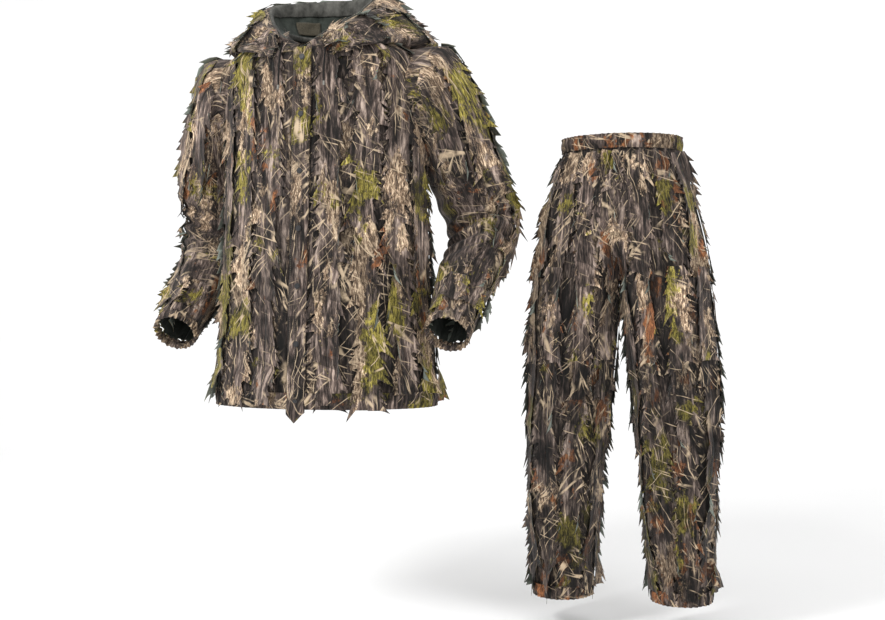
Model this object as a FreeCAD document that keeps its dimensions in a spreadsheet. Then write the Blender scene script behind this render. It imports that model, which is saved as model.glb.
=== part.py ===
import FreeCAD, Part
import math
import os

# A two-piece leafy camouflage suit: a hooded, snap-fronted jacket and elastic-waisted trousers.
# Millimetres, +Z up. Both garments stand upright, as worn, and face -Y. The wearer's left is +X.
# The origin is the centre of the jacket's neck seam, where the wearer's shoulders hold it up.

Vector = FreeCAD.Vector

DRIVING_DIMENSIONS = [
    # cloth
    ("cloth_thickness", 3),
    ("leaf_stand_off", 5),
    ("leaf_thickness", 2),
    ("leaf_lobe_pitch", 52),
    ("leaf_lobe_depth", 16),
    ("leaf_strip_width", 58),
    ("leaf_cut_start", 30),
    ("leaf_top_margin", 14),
    ("leaf_bottom_margin", 8),
    # jacket body: level, half width and half depth of each ring
    ("neck_level", -4),
    ("neck_half_width", 98),
    ("neck_half_depth", 96),
    ("slope_level", -30),
    ("slope_half_width", 150),
    ("shoulder_level", -62),
    ("shoulder_half_width", 222),
    ("armhole_level", -110),
    ("armhole_half_width", 236),
    ("chest_level", -300),
    ("chest_half_width", 232),
    ("waist_level", -520),
    ("waist_half_width", 238),
    ("hem_level", -800),
    ("hem_half_width", 254),
    ("front_top_level", -70),
    ("front_top_depth", 135),
    ("front_slope", 0.0526),
    ("slope_half_depth", 120),
    ("hem_band_height", 30),
    ("band_wall", 6),
    ("garment_reach", 400),
    ("neckline_drop", 52),
    ("neckline_half_width", 84),
    # front closure
    ("placket_width", 42),
    ("placket_lift", 3.4),
    ("placket_thickness", 2),
    ("snap_count", 7),
    ("snap_top_level", -76.5),
    ("snap_pitch", 123),
    ("snap_cap_radius", 6.25),
    ("snap_ring_radius", 5.5),
    ("snap_knob_radius", 2),
    ("snap_clearance", 0.25),
    # sleeves
    ("shoulder_joint_x", 247),
    ("shoulder_joint_y", 25),
    ("shoulder_joint_z", -155),
    ("armhole_radius", 93),
    ("armhole_clearance", 1.5),
    ("sleeve_tuck", 12),
    ("elbow_x", 325),
    ("elbow_y", 145),
    ("elbow_z", -450),
    ("cuff_x", 316),
    ("cuff_y", -98),
    ("cuff_z", -655),
    ("upper_arm_radius", 77),
    ("elbow_radius", 76),
    ("cuff_radius", 43),
    ("cuff_band_height", 24),
    # hood and neck
    ("hood_top_level", 74),
    ("hood_front", -58),
    ("hood_tunnel_height", 15),
    ("hood_clearance", 9),
    ("eyelet_half_spacing", 52),
    ("eyelet_level", -34),
    ("eyelet_radius", 5.5),
    ("drawcord_diameter", 3.5),
    ("label_width", 56),
    ("label_height", 38),
    ("label_level", 6),
    ("label_thickness", 0.8),
    ("label_inset", 8.5),
    # trousers
    ("trousers_x", 640),
    ("trousers_y", 180),
    ("waistband_top", -236),
    ("waistband_height", 32),
    ("waistband_half_width", 128),
    ("waistband_half_depth", 104),
    ("hip_level", -420),
    ("hip_half_width", 172),
    ("hip_half_depth", 132),
    ("crotch_level", -556),
    ("crotch_half_width", 196),
    ("crotch_half_depth", 130),
    ("knee_level", -880),
    ("ankle_level", -1236),
    ("ankle_band_height", 28),
    ("thigh_offset", 101),
    ("knee_offset", 122),
    ("ankle_offset", 134),
    ("thigh_half_width", 95),
    ("thigh_half_depth", 122),
    ("knee_half_width", 92),
    ("knee_half_depth", 100),
    ("ankle_half_width", 64),
    ("ankle_half_depth", 72),
    ("joint_gap", 2),
]

doc = FreeCAD.newDocument("ghillie_suit")
sheet = doc.addObject("Spreadsheet::Sheet", "dims")
for row, (alias, value) in enumerate(DRIVING_DIMENSIONS, start=1):
    sheet.set("A%d" % row, alias)
    sheet.set("B%d" % row, str(value))
    sheet.setAlias("B%d" % row, alias)
doc.recompute()

sub_parts = []


def size(alias):
    """A driving dimension's value, read from the sheet."""
    return float(sheet.get(alias))


def keep(obj, node):
    """Mark an object as a sub-part that is exported under its own name."""
    obj.Label = node
    sub_parts.append((node, obj))
    return obj


def ring(centre, major, minor, normal=Vector(0, 0, 1), along=Vector(1, 0, 0)):
    """An ellipse with its longer half axis along `along`; major and minor are sheet expressions."""
    ellipse = doc.addObject("Part::Ellipse", "ring")
    ellipse.setExpression("MajorRadius", major)
    ellipse.setExpression("MinorRadius", minor)
    across = normal.cross(along)
    turn = FreeCAD.Rotation(along, across, normal, "ZXY")
    ellipse.Placement = FreeCAD.Placement(centre, turn)
    return ellipse


def loft(rings, ruled=True):
    """A closed solid through a row of rings."""
    body = doc.addObject("Part::Loft", "loft")
    body.Sections = rings
    body.Solid = True
    body.Ruled = ruled
    return body


def cut(base, *tools):
    """The base with every tool taken away, one after the other."""
    for tool in tools:
        feature = doc.addObject("Part::Cut", "cut")
        feature.Base = base
        feature.Tool = tool
        base = feature
    return base


def common(base, tool):
    """Where the two overlap."""
    feature = doc.addObject("Part::Common", "common")
    feature.Base = base
    feature.Tool = tool
    return feature


def group(solids):
    """Separate solids that share one node."""
    feature = doc.addObject("Part::Compound", "group")
    feature.Links = solids
    return feature


def block(low, high):
    """A box between two corners, used to divide a shell into its panels."""
    feature = doc.addObject("Part::Box", "block")
    feature.Length = high.x - low.x
    feature.Width = high.y - low.y
    feature.Height = high.z - low.z
    feature.Placement.Base = low
    return feature


def prism(points, direction, depth):
    """A flat outline pushed straight through."""
    outline = doc.addObject("Part::Polygon", "outline")
    outline.Nodes = points
    outline.Close = True
    solid = doc.addObject("Part::Extrusion", "prism")
    solid.Base = outline
    solid.DirMode = "Custom"
    solid.Dir = direction
    solid.LengthFwd = depth
    solid.Solid = True
    return solid


def leaf_prism(start, end, across, through, depth):
    """A strip of leaf lobes from start to end: both long edges run out and in, lobe after lobe."""
    run = end - start
    lobes = max(2, round(run.Length / size("leaf_lobe_pitch")))
    wide = size("leaf_strip_width") / 2
    narrow = wide - size("leaf_lobe_depth")
    one_edge = []
    for index in range(lobes):
        notch = start + run * (index / lobes)
        tip = start + run * ((index + 0.7) / lobes)
        one_edge.append((notch, narrow))
        one_edge.append((tip, wide))
    one_edge.append((end, narrow))
    right = [point + across * reach for point, reach in one_edge]
    left = [point - across * reach for point, reach in reversed(one_edge)]
    return prism(right + left, through, depth)


def front_depth(level):
    """Half depth of the jacket at a level: its front hangs in one straight line from the neck down."""
    return size("front_top_depth") + size("front_slope") * (size("front_top_level") - level)


# ---- jacket body ------------------------------------------------------------------------------

TORSO = ["slope", "shoulder", "armhole", "chest", "waist", "hem"]


def torso_depth(name):
    """The sheet expression for a torso ring's half depth."""
    if name == "slope":
        return "dims.slope_half_depth"
    return "dims.front_top_depth + dims.front_slope * (dims.front_top_level - dims.%s_level)" % name


def torso_form(offset, tail=0):
    """The jacket's body as a solid, this far outside (or, if negative, inside) its outer face.
    A tail goes straight down from it, over the hem band."""
    rings = []
    mouth = "dims.neck_half_%s + " + repr(offset)
    top = Vector(0, 0, size("neck_level") + max(0, offset))
    rings.append(ring(top, mouth % "width", mouth % "depth"))
    for name in TORSO:
        shift = offset if name in ("slope", "shoulder") else 0
        level = size(name + "_level") + shift
        wide = "dims.%s_half_width + %r" % (name, offset)
        deep = "%s + %r" % (torso_depth(name), offset)
        rings.append(ring(Vector(0, 0, level), wide, deep))
    if tail:
        rings.append(ring(Vector(0, 0, size("hem_level") - tail), wide, deep))
    return loft(rings)


def armhole_cutter(side, margin=0):
    """The round opening that a sleeve is set into."""
    middle = Vector(0, size("shoulder_joint_y"), size("shoulder_joint_z"))
    radius = "dims.armhole_radius + dims.armhole_clearance + %r" % margin
    rings = []
    for reach in (size("neck_half_width") + 10, size("garment_reach")):
        centre = middle + Vector(side * reach, 0, 0)
        rings.append(ring(centre, radius, radius, normal=Vector(1, 0, 0), along=Vector(0, 1, 0)))
    return loft(rings)


def neckline_cutter(margin):
    """The V of the open neck, above the first snap."""
    top = size("hood_top_level")
    reach = size("neckline_half_width") + margin
    bottom = -size("neckline_drop") - margin
    outline = [Vector(0, -250, bottom), Vector(reach, -250, 0), Vector(reach, -250, top),
               Vector(-reach, -250, top), Vector(-reach, -250, 0)]
    return prism(outline, Vector(0, 1, 0), 250)


def build_jacket_body():
    """Back panel, two front panels and the band under the placket."""
    cloth = -size("cloth_thickness")
    shell = cut(torso_form(0), torso_form(cloth))
    edge = size("placket_width") / 2
    far = size("garment_reach")
    low = size("hem_level") - 1
    back = block(Vector(-far, 0, low), Vector(far, far, 100))
    left = block(Vector(edge, -far, low), Vector(far, 0, 100))
    right = block(Vector(-far, -far, low), Vector(-edge, 0, 100))
    middle = block(Vector(-edge, -far, low), Vector(edge, -100, 100))
    keep(cut(common(shell, back), armhole_cutter(1), armhole_cutter(-1)), "back_panel")
    keep(cut(common(shell, left), armhole_cutter(1), neckline_cutter(0), eyelet_hole(1)), "left_front_panel")
    keep(cut(common(shell, right), armhole_cutter(-1), neckline_cutter(0), eyelet_hole(-1)), "right_front_panel")
    keep(cut(common(shell, middle), neckline_cutter(4)), "under_placket")


def build_placket():
    """The flap over the snaps, sewn to the left front along one edge."""
    lift = size("placket_lift")
    tail = size("hem_band_height")
    shell = cut(torso_form(lift + size("placket_thickness"), tail), torso_form(lift, tail))
    half = size("placket_width") / 2
    bottom = size("hem_level") - tail + 2
    strip = block(Vector(-half, -size("garment_reach"), bottom), Vector(half - 1, -100, 0))
    keep(cut(common(shell, strip), neckline_cutter(6)), "front_placket")


def snap_levels():
    """Heights of the snaps, evenly spaced down the front."""
    top = size("snap_top_level")
    return [top - index * size("snap_pitch") for index in range(int(size("snap_count")))]


def disc(level, inner_lift, outer_lift, radius):
    """A short round solid on the front line, between two heights above the under placket."""
    solid = doc.addObject("Part::Cylinder", "disc")
    solid.setExpression("Radius", radius)
    solid.Height = outer_lift - inner_lift
    slope = math.degrees(math.atan(size("front_slope")))
    if level < size("hem_level"):
        slope = 0
    turn = FreeCAD.Rotation(Vector(1, 0, 0), 90 - slope)
    outward = turn.multVec(Vector(0, 0, 1))
    foot = Vector(0, -front_depth(max(level, size("hem_level"))), level)
    solid.Placement = FreeCAD.Placement(foot + outward * inner_lift, turn)
    return solid


def build_snaps():
    """Each snap is a cap and socket on the placket, and a stud and its back on the band below."""
    caps = []
    sockets = []
    studs = []
    backs = []
    cloth = size("cloth_thickness")
    lift = size("placket_lift")
    clear = size("snap_clearance")
    outside = lift + size("placket_thickness") + clear
    for level in snap_levels():
        rim = disc(level, outside, outside + 1, "dims.snap_cap_radius")
        crown = disc(level, outside + 1, outside + 1.8, "dims.snap_cap_radius - 1.6")
        fuse = doc.addObject("Part::Fuse", "cap")
        fuse.Base = rim
        fuse.Tool = crown
        caps.append(fuse)
        washer = disc(level, 1.2, lift - clear, "dims.snap_ring_radius")
        bore = disc(level, 1.0, 2.8, "dims.snap_knob_radius + 0.45")
        sockets.append(cut(washer, bore))
        plate = disc(level, 0, 0.8, "dims.snap_ring_radius")
        knob = disc(level, 0.8, 2.4, "dims.snap_knob_radius")
        stud = doc.addObject("Part::Fuse", "stud")
        stud.Base = plate
        stud.Tool = knob
        studs.append(stud)
        inside = -clear - (size("band_wall") if level < size("hem_level") else cloth)
        backs.append(disc(level, inside - 1, inside, "dims.snap_ring_radius"))
    keep(group(caps), "snap_caps")
    keep(group(sockets), "snap_sockets")
    keep(group(studs), "snap_studs")
    keep(group(backs), "snap_backs")


def band(prefix, bottom, normal, along, major, minor, height, plain=None):
    """A turned hem with its elastic inside: a channel open along its upper edge, and a loop in it.
    Within the plain block there is neither channel nor elastic."""
    def hoop(start, stop, offset):
        rings = []
        for distance in (start, stop):
            rings.append(ring(bottom + normal * distance, "%s + %r" % (major, offset),
                              "%s + %r" % (minor, offset), normal, along))
        return loft(rings)

    thick = size("band_wall")
    wall = cut(hoop(0, height, 0), hoop(-1, height + 1, -thick))
    channel = cut(hoop(3, height + 2, -thick / 4), hoop(2, height + 3, -thick * 3 / 4))
    elastic = cut(hoop(5, height - 5, -thick * 0.35), hoop(4, height - 4, -thick * 0.65))
    casing = cut(wall, channel)
    if plain:
        filled = doc.addObject("Part::Fuse", "filled_band")
        filled.Base = casing
        filled.Tool = common(wall, plain)
        casing = filled
        elastic = cut(elastic, plain)
    keep(casing, prefix + "_casing")
    keep(elastic, prefix + "_elastic")


def build_jacket_hem():
    """The gathered lower edge of the jacket."""
    bottom = Vector(0, 0, size("hem_level") - size("hem_band_height"))
    half = size("placket_width") / 2 + 3
    under_snap = block(Vector(-half, -size("garment_reach"), bottom.z - 5), Vector(half, 0, size("hem_level") + 5))
    band("hem", bottom, Vector(0, 0, 1), Vector(1, 0, 0), "dims.hem_half_width",
         torso_depth("hem"), size("hem_band_height"), under_snap)


def torso_leaf_strips(places, toward_front):
    """Vertical strips on the jacket's front or back, at these places across it."""
    strips = []
    direction = -1 if toward_front else 1
    for x in places:
        y = direction * size("leaf_cut_start")
        start = Vector(x, y, size("shoulder_level") - size("leaf_top_margin"))
        end = Vector(x, y, size("hem_level") + size("leaf_bottom_margin"))
        outward = Vector(0, direction, 0)
        strips.append(leaf_prism(start, end, Vector(1, 0, 0), outward, size("garment_reach")))
    return group(strips)


def build_jacket_leaves():
    """Leaf strips sewn down the fronts and the back."""
    off = size("leaf_stand_off")
    layer = cut(torso_form(off + size("leaf_thickness")), torso_form(off))
    margin = off + size("leaf_thickness")
    left_strips = common(layer, torso_leaf_strips((62, 128, 194), True))
    right_strips = common(layer, torso_leaf_strips((-62, -128, -194), True))
    back_strips = common(layer, torso_leaf_strips((0, -66, 66, -132, 132, -196, 196), False))
    keep(cut(left_strips, armhole_cutter(1, margin)), "left_front_leaf_strips")
    keep(cut(right_strips, armhole_cutter(-1, margin)), "right_front_leaf_strips")
    keep(cut(back_strips, armhole_cutter(1, margin), armhole_cutter(-1, margin)), "back_leaf_strips")


# ---- hood and neck ----------------------------------------------------------------------------

# Each ring of the lying hood: level, how far back its centre is, half width, half depth.
HOOD_RINGS = [
    (-205, 158, 96, 52),
    (-120, 128, 160, 84),
    (-30, 74, 176, 132),
    (30, 52, 166, 124),
    (74, 44, 134, 102),
]
# Each ring of the space for the neck inside it, the same way.
HEAD_OPENING_RINGS = [(-240, 6, 94, 92), (0, 6, 94, 92), (80, 36, 125, 94)]
HOOD_STRIP_PLACES = (-96, -32, 32, 96)
HOOD_STRIP_START_Y, HOOD_STRIP_END_LEVEL = 60, -165


def hood_form(offset):
    """The hood as it lies back on the shoulders, as a solid."""
    rings = []
    for level, back, wide, deep in HOOD_RINGS:
        rings.append(ring(Vector(0, back, level), repr(wide + offset), repr(deep + offset)))
    return loft(rings)


def head_opening():
    """The space that the neck stands in, wider towards the hood's upper edge."""
    rings = []
    for level, back, wide, deep in HEAD_OPENING_RINGS:
        rings.append(ring(Vector(0, back, level), repr(wide), repr(deep)))
    return loft(rings)


def build_hood():
    """Two hood panels joined down the middle, and the turned edge that the drawcord runs in."""
    far = size("garment_reach")
    front = size("hood_front")
    top = size("hood_top_level")
    seam = top - size("hood_tunnel_height")
    right = block(Vector(-far, front, -far), Vector(0, far, seam))
    edge = block(Vector(-far, front, seam), Vector(far, far, top))
    panel = cut(common(hood_form(0), right), torso_form(size("hood_clearance")), head_opening())
    keep(panel, "hood_right_panel")
    opposite = doc.addObject("Part::Mirroring", "opposite")
    opposite.Source = panel
    opposite.Normal = Vector(1, 0, 0)
    keep(opposite, "hood_left_panel")
    keep(cut(common(hood_form(0), edge), head_opening()), "hood_edge_tunnel")
    off = size("leaf_stand_off")
    layer = cut(hood_form(off + size("leaf_thickness")), hood_form(off))
    layer = cut(layer, torso_form(size("hood_clearance")))
    strips = []
    for x in HOOD_STRIP_PLACES:
        start = Vector(x, HOOD_STRIP_START_Y, seam - size("leaf_stand_off") - 1)
        end = Vector(x, HOOD_STRIP_START_Y, HOOD_STRIP_END_LEVEL)
        strips.append(leaf_prism(start, end, Vector(1, 0, 0), Vector(0, 1, 0), far))
    keep(common(layer, group(strips)), "hood_leaf_strips")


def build_neck_fittings():
    """Binding around the neck seam, a blank label inside it, and two eyelets for the drawcord."""
    rings = []
    for offset in (0, -5):
        low = ring(Vector(0, 0, -3), "dims.neck_half_width + %r" % offset,
                   "dims.neck_half_depth + %r" % offset)
        high = ring(Vector(0, 0, 5), "dims.neck_half_width + %r" % offset,
                    "dims.neck_half_depth + %r" % offset)
        rings.append(loft([low, high]))
    keep(cut(cut(rings[0], rings[1]), neckline_cutter(3)), "neck_binding")
    label = doc.addObject("Part::Box", "label")
    label.setExpression("Length", "dims.label_width")
    label.setExpression("Width", "dims.label_thickness")
    label.setExpression("Height", "dims.label_height")
    back = size("neck_half_depth") - size("label_inset")
    label.Placement.Base = Vector(-size("label_width") / 2, back, size("label_level"))
    keep(label, "neck_label")


def eyelet_centre(side):
    """Where one end of the drawcord comes out, in the front panel beside the V of the neck."""
    level = size("eyelet_level")
    share = (size("slope_level") - level) / (size("slope_level") - size("shoulder_level"))
    wide = size("slope_half_width") + share * (size("shoulder_half_width") - size("slope_half_width"))
    shoulder_depth = front_depth(size("shoulder_level"))
    deep = size("slope_half_depth") + share * (shoulder_depth - size("slope_half_depth"))
    x = side * size("eyelet_half_spacing")
    return Vector(x, -deep * math.sqrt(1 - (x / wide) ** 2), level)


def eyelet_hole(side):
    """The hole in the front panel that an eyelet fills."""
    hole = doc.addObject("Part::Cylinder", "panel_hole")
    hole.setExpression("Radius", "dims.eyelet_radius + 0.3")
    hole.Height = 30
    turn = FreeCAD.Rotation(Vector(1, 0, 0), 90)
    hole.Placement = FreeCAD.Placement(eyelet_centre(side) + Vector(0, 15, 0), turn)
    return hole


def build_eyelets():
    """A small rimmed ring at each side of the V."""
    for side, name in ((1, "left"), (-1, "right")):
        centre = eyelet_centre(side)
        outer = doc.addObject("Part::Cylinder", "eyelet")
        outer.setExpression("Radius", "dims.eyelet_radius")
        outer.Height = 5
        inner = doc.addObject("Part::Cylinder", "eyelet_bore")
        inner.setExpression("Radius", "dims.drawcord_diameter / 2 + 0.7")
        inner.Height = 9
        turn = FreeCAD.Rotation(Vector(1, 0, 0), 90)
        outer.Placement = FreeCAD.Placement(centre + Vector(0, 4, 0), turn)
        inner.Placement = FreeCAD.Placement(centre + Vector(0, 6, 0), turn)
        keep(cut(outer, inner), name + "_eyelet")


# Each drawcord's route from its eyelet, as steps from the eyelet's centre: sideways, forward, up.
CORD_ROUTES = {
    "left": [(0, 3, 0), (0.6, -6, -1), (0.2, -14, -9), (-0.6, -21.5, -24), (0.5, -27.5, -44),
             (-0.4, -30.5, -68), (0.4, -32.5, -98)],
    "right": [(0, 3, 0), (-0.5, -6, -1), (0.3, -14.5, -9), (0.9, -21.5, -25), (-0.3, -27.5, -46),
              (0.7, -31, -71), (-0.2, -33, -102)],
}


def rounded_path(points, name):
    """Straight runs joined by tangent arcs, each as large as its two runs allow."""
    edges = []
    radii = []
    start = points[0]
    for index in range(1, len(points) - 1):
        corner = points[index]
        arriving = corner - points[index - 1]
        leaving = points[index + 1] - corner
        turn = arriving.getAngle(leaving)
        trim = 0.45 * min(arriving.Length, leaving.Length)
        radii.append(trim / math.tan(turn / 2))
        arriving.normalize()
        leaving.normalize()
        before = corner - arriving * trim
        after = corner + leaving * trim
        toward = leaving - arriving
        toward.normalize()
        sagitta = radii[-1] * (1 / math.cos(turn / 2) - 1)
        edges.append(Part.LineSegment(start, before).toShape())
        edges.append(Part.Arc(before, corner + toward * sagitta, after).toShape())
        start = after
    edges.append(Part.LineSegment(start, points[-1]).toShape())
    print(name, "bend radii mm:", [round(radius, 1) for radius in radii])
    return Part.Wire(edges)


def build_drawcords():
    """Two free ends of the hood's drawcord, each hanging from its eyelet and ending in a tip."""
    diameter = size("drawcord_diameter")
    for side, name in ((1, "left"), (-1, "right")):
        centre = eyelet_centre(side)
        points = [centre + Vector(*step) for step in CORD_ROUTES[name]]
        path = rounded_path(points, name + "_drawcord")
        first = points[1] - points[0]
        profile = Part.Wire(Part.Circle(points[0], first, diameter / 2).toShape())
        tube = path.makePipeShell([profile], True, False)
        expected = math.pi * diameter ** 2 / 4 * path.Length
        print(name, "cord length", round(path.Length, 1), "volume ratio", tube.Volume / expected)
        cord = doc.addObject("Part::Feature", "drawcord")
        cord.Shape = tube
        keep(cord, name + "_drawcord")
        last = points[-1] - points[-2]
        tip = doc.addObject("Part::Cylinder", "tip")
        tip.setExpression("Radius", "dims.drawcord_diameter / 2 + 0.6")
        tip.Height = 9
        tip.Placement = FreeCAD.Placement(points[-1], FreeCAD.Rotation(Vector(0, 0, 1), last))
        keep(tip, name + "_cord_tip")


# ---- sleeves ----------------------------------------------------------------------------------

def arm_points(side):
    """Shoulder, elbow and cuff centres of one arm."""
    shoulder = Vector(side * size("shoulder_joint_x"), size("shoulder_joint_y"), size("shoulder_joint_z"))
    elbow = Vector(side * size("elbow_x"), size("elbow_y"), size("elbow_z"))
    cuff = Vector(side * size("cuff_x"), size("cuff_y"), size("cuff_z"))
    return shoulder, elbow, cuff


def unit(vector):
    """The same direction, one millimetre long."""
    return vector * (1 / vector.Length)


def elbow_frame(side):
    """The elbow's mitre: the plane's normal, the direction to the crook, and half the bend."""
    shoulder, elbow, cuff = arm_points(side)
    upper = unit(elbow - shoulder)
    lower = unit(cuff - elbow)
    normal = unit(upper + lower)
    crook = unit(lower - upper)
    return normal, crook, upper.getAngle(lower) / 2


def across(direction, toward):
    """`toward` made square to `direction`."""
    return unit(toward - direction * direction.dot(toward))


def upper_sleeve_form(side, offset, past):
    """From a round sleeve head, tucked into the armhole, to the slanted ring at the elbow."""
    shoulder, elbow, cuff = arm_points(side)
    normal, crook, half_bend = elbow_frame(side)
    aside = Vector(side, 0, 0)
    upper = unit(elbow - shoulder)
    middle = shoulder + (elbow - shoulder) * 0.45 + Vector(side * 27, 0, 0)
    longer = 1 / math.cos(half_bend)
    forward = Vector(0, -1, 0)
    inside = shoulder - aside * (size("shoulder_joint_x") - size("neck_half_width") - 20 + past)
    round_size = "dims.armhole_radius + %r" % offset
    rings = [ring(inside, round_size, round_size, aside, forward),
             ring(shoulder, round_size, round_size, aside, forward),
             ring(middle, "dims.upper_arm_radius + 4 + %r" % offset,
                  "dims.upper_arm_radius - 6 + %r" % offset, upper, across(upper, forward)),
             ring(elbow + normal * past, "dims.elbow_radius * %r + %r" % (longer, offset),
                  "dims.elbow_radius + %r" % offset, normal, crook)]
    return loft(rings)


def beyond(point, normal):
    """Everything on the far side of a plane, as far as a limb reaches."""
    reach = 400
    side_way = across(normal, Vector(1, 0, 0))
    turn = FreeCAD.Rotation(side_way, normal.cross(side_way), normal, "ZXY")
    half_space = doc.addObject("Part::Box", "half_space")
    half_space.Length = reach
    half_space.Width = reach
    half_space.Height = reach
    corner = point + turn.multVec(Vector(-reach / 2, -reach / 2, 0))
    half_space.Placement = FreeCAD.Placement(corner, turn)
    return half_space


def lower_sleeve_form(side, offset, past):
    """From the slanted ring at the elbow to the gathered cuff, tapering all the way."""
    shoulder, elbow, cuff = arm_points(side)
    normal, crook, half_bend = elbow_frame(side)
    lower = unit(cuff - elbow)
    inward = across(lower, crook)
    lead = 100
    wider = size("elbow_radius") + (size("elbow_radius") - size("cuff_radius")) * lead / (cuff - elbow).Length
    rings = [ring(elbow - lower * lead, "%r + %r" % (wider + 1, offset), "%r + %r" % (wider, offset),
                  lower, inward),
             ring(cuff + lower * past, "dims.cuff_radius + 2 + %r" % offset, "dims.cuff_radius + %r" % offset,
                  lower, inward)]
    start = elbow + normal * (size("joint_gap") - past)
    return common(loft(rings), beyond(start, normal))


def limb_leaves(layer, start, end, forward, sideways, places):
    """Strips along a limb: two faces towards forward and back, one face to each side."""
    strips = []
    for place in places:
        behind = sideways * place - forward * (size("garment_reach") / 2)
        strips.append(leaf_prism(start + behind, end + behind, sideways, forward, size("garment_reach")))
    return common(layer, group(strips))


def build_sleeve(side, name):
    """Upper and lower sleeve, leaf strips on both, and the elasticated cuff."""
    shoulder, elbow, cuff = arm_points(side)
    normal, crook, half_bend = elbow_frame(side)
    cloth = -size("cloth_thickness")
    off = size("leaf_stand_off")
    thick = size("leaf_thickness")
    gap = size("joint_gap")
    upper = unit(elbow - shoulder)
    lower = unit(cuff - elbow)
    sleeve = cut(upper_sleeve_form(side, 0, 0), upper_sleeve_form(side, cloth, 1))
    keep(cut(sleeve, torso_form(-size("sleeve_tuck"))), name + "_upper_sleeve")
    keep(cut(lower_sleeve_form(side, 0, 0), lower_sleeve_form(side, cloth, 1)), name + "_lower_sleeve")
    forward = across(upper, Vector(0, -1, 0))
    outward = unit(upper.cross(forward)) * -side
    layer = cut(upper_sleeve_form(side, off + thick, 0), upper_sleeve_form(side, off, 1))
    start = shoulder + (elbow - shoulder) * 0.32 + Vector(side * 16, 0, 0)
    end = elbow - upper * 74
    leaves = limb_leaves(layer, start, end, forward, outward, (-16, 42))
    keep(leaves, name + "_upper_sleeve_leaf_strips")
    inward = across(lower, crook)
    sideways = unit(lower.cross(inward))
    layer = cut(lower_sleeve_form(side, off + thick, 0), lower_sleeve_form(side, off, 1))
    leaves = limb_leaves(layer, elbow + lower * 78, cuff - lower * 14, inward, sideways, (-31, 31))
    keep(leaves, name + "_lower_sleeve_leaf_strips")
    bottom = cuff + lower * (size("cuff_band_height") + gap / 4)
    band(name + "_cuff", bottom, lower * -1, inward, "dims.cuff_radius + 2", "dims.cuff_radius",
         size("cuff_band_height"))


# ---- trousers ---------------------------------------------------------------------------------

def trousers_middle(level):
    """The trousers' own centre line at a level."""
    return Vector(size("trousers_x"), size("trousers_y"), level)


def seat_form(offset, past):
    """From the waistband down to where the legs part."""
    waist_bottom = size("waistband_top") - size("waistband_height")
    rings = [ring(trousers_middle(waist_bottom + past), "dims.waistband_half_width + %r" % offset,
                  "dims.waistband_half_depth + %r" % offset),
             ring(trousers_middle(waist_bottom - 40), "dims.waistband_half_width + 18 + %r" % offset,
                  "dims.waistband_half_depth + 12 + %r" % offset),
             ring(trousers_middle(size("hip_level")), "dims.hip_half_width + %r" % offset,
                  "dims.hip_half_depth + %r" % offset),
             ring(trousers_middle(size("crotch_level") - past), "dims.crotch_half_width + %r" % offset,
                  "dims.crotch_half_depth + %r" % offset)]
    return loft(rings)


def build_seat():
    """Left and right halves of the trousers' top, joined by the seat seam, with their leaf strips."""
    shell = cut(seat_form(0, 0), seat_form(-size("cloth_thickness"), 1))
    middle = trousers_middle(0)
    low = size("crotch_level") - 5
    left = block(middle + Vector(0, -300, low), middle + Vector(300, 300, -200))
    right = block(middle + Vector(-300, -300, low), middle + Vector(0, 300, -200))
    keep(common(shell, left), "left_seat_panel")
    keep(common(shell, right), "right_seat_panel")
    off = size("leaf_stand_off")
    layer = cut(seat_form(off + size("leaf_thickness"), 0), seat_form(off, 1))
    top = size("waistband_top") - size("waistband_height") - 12
    bottom = size("crotch_level") + 8
    for direction, name in ((-1, "front_seat_leaf_strips"), (1, "back_seat_leaf_strips")):
        strips = []
        for x in (-136, -68, 0, 68, 136):
            start = middle + Vector(x, direction * 20, top)
            end = middle + Vector(x, direction * 20, bottom)
            strips.append(leaf_prism(start, end, Vector(1, 0, 0), Vector(0, direction, 0), 250))
        keep(common(layer, group(strips)), name)
    bottom_of_band = trousers_middle(size("waistband_top") - size("waistband_height") + 0.5)
    band("waistband", bottom_of_band, Vector(0, 0, 1), Vector(1, 0, 0), "dims.waistband_half_width",
         "dims.waistband_half_depth", size("waistband_height"))


def leg_form(side, upper, offset, past):
    """One leg's upper or lower half."""
    gap = size("joint_gap")
    if upper:
        stations = [(size("crotch_level") - gap + past, "thigh"), (size("knee_level") - past, "knee")]
    else:
        stations = [(size("knee_level") - gap + past, "knee"), (size("ankle_level") - past, "ankle")]
    rings = []
    for level, name in stations:
        centre = trousers_middle(level) + Vector(side * size(name + "_offset"), 0, 0)
        rings.append(ring(centre, "dims.%s_half_depth + %r" % (name, offset),
                          "dims.%s_half_width + %r" % (name, offset), along=Vector(0, 1, 0)))
    return loft(rings)


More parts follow.
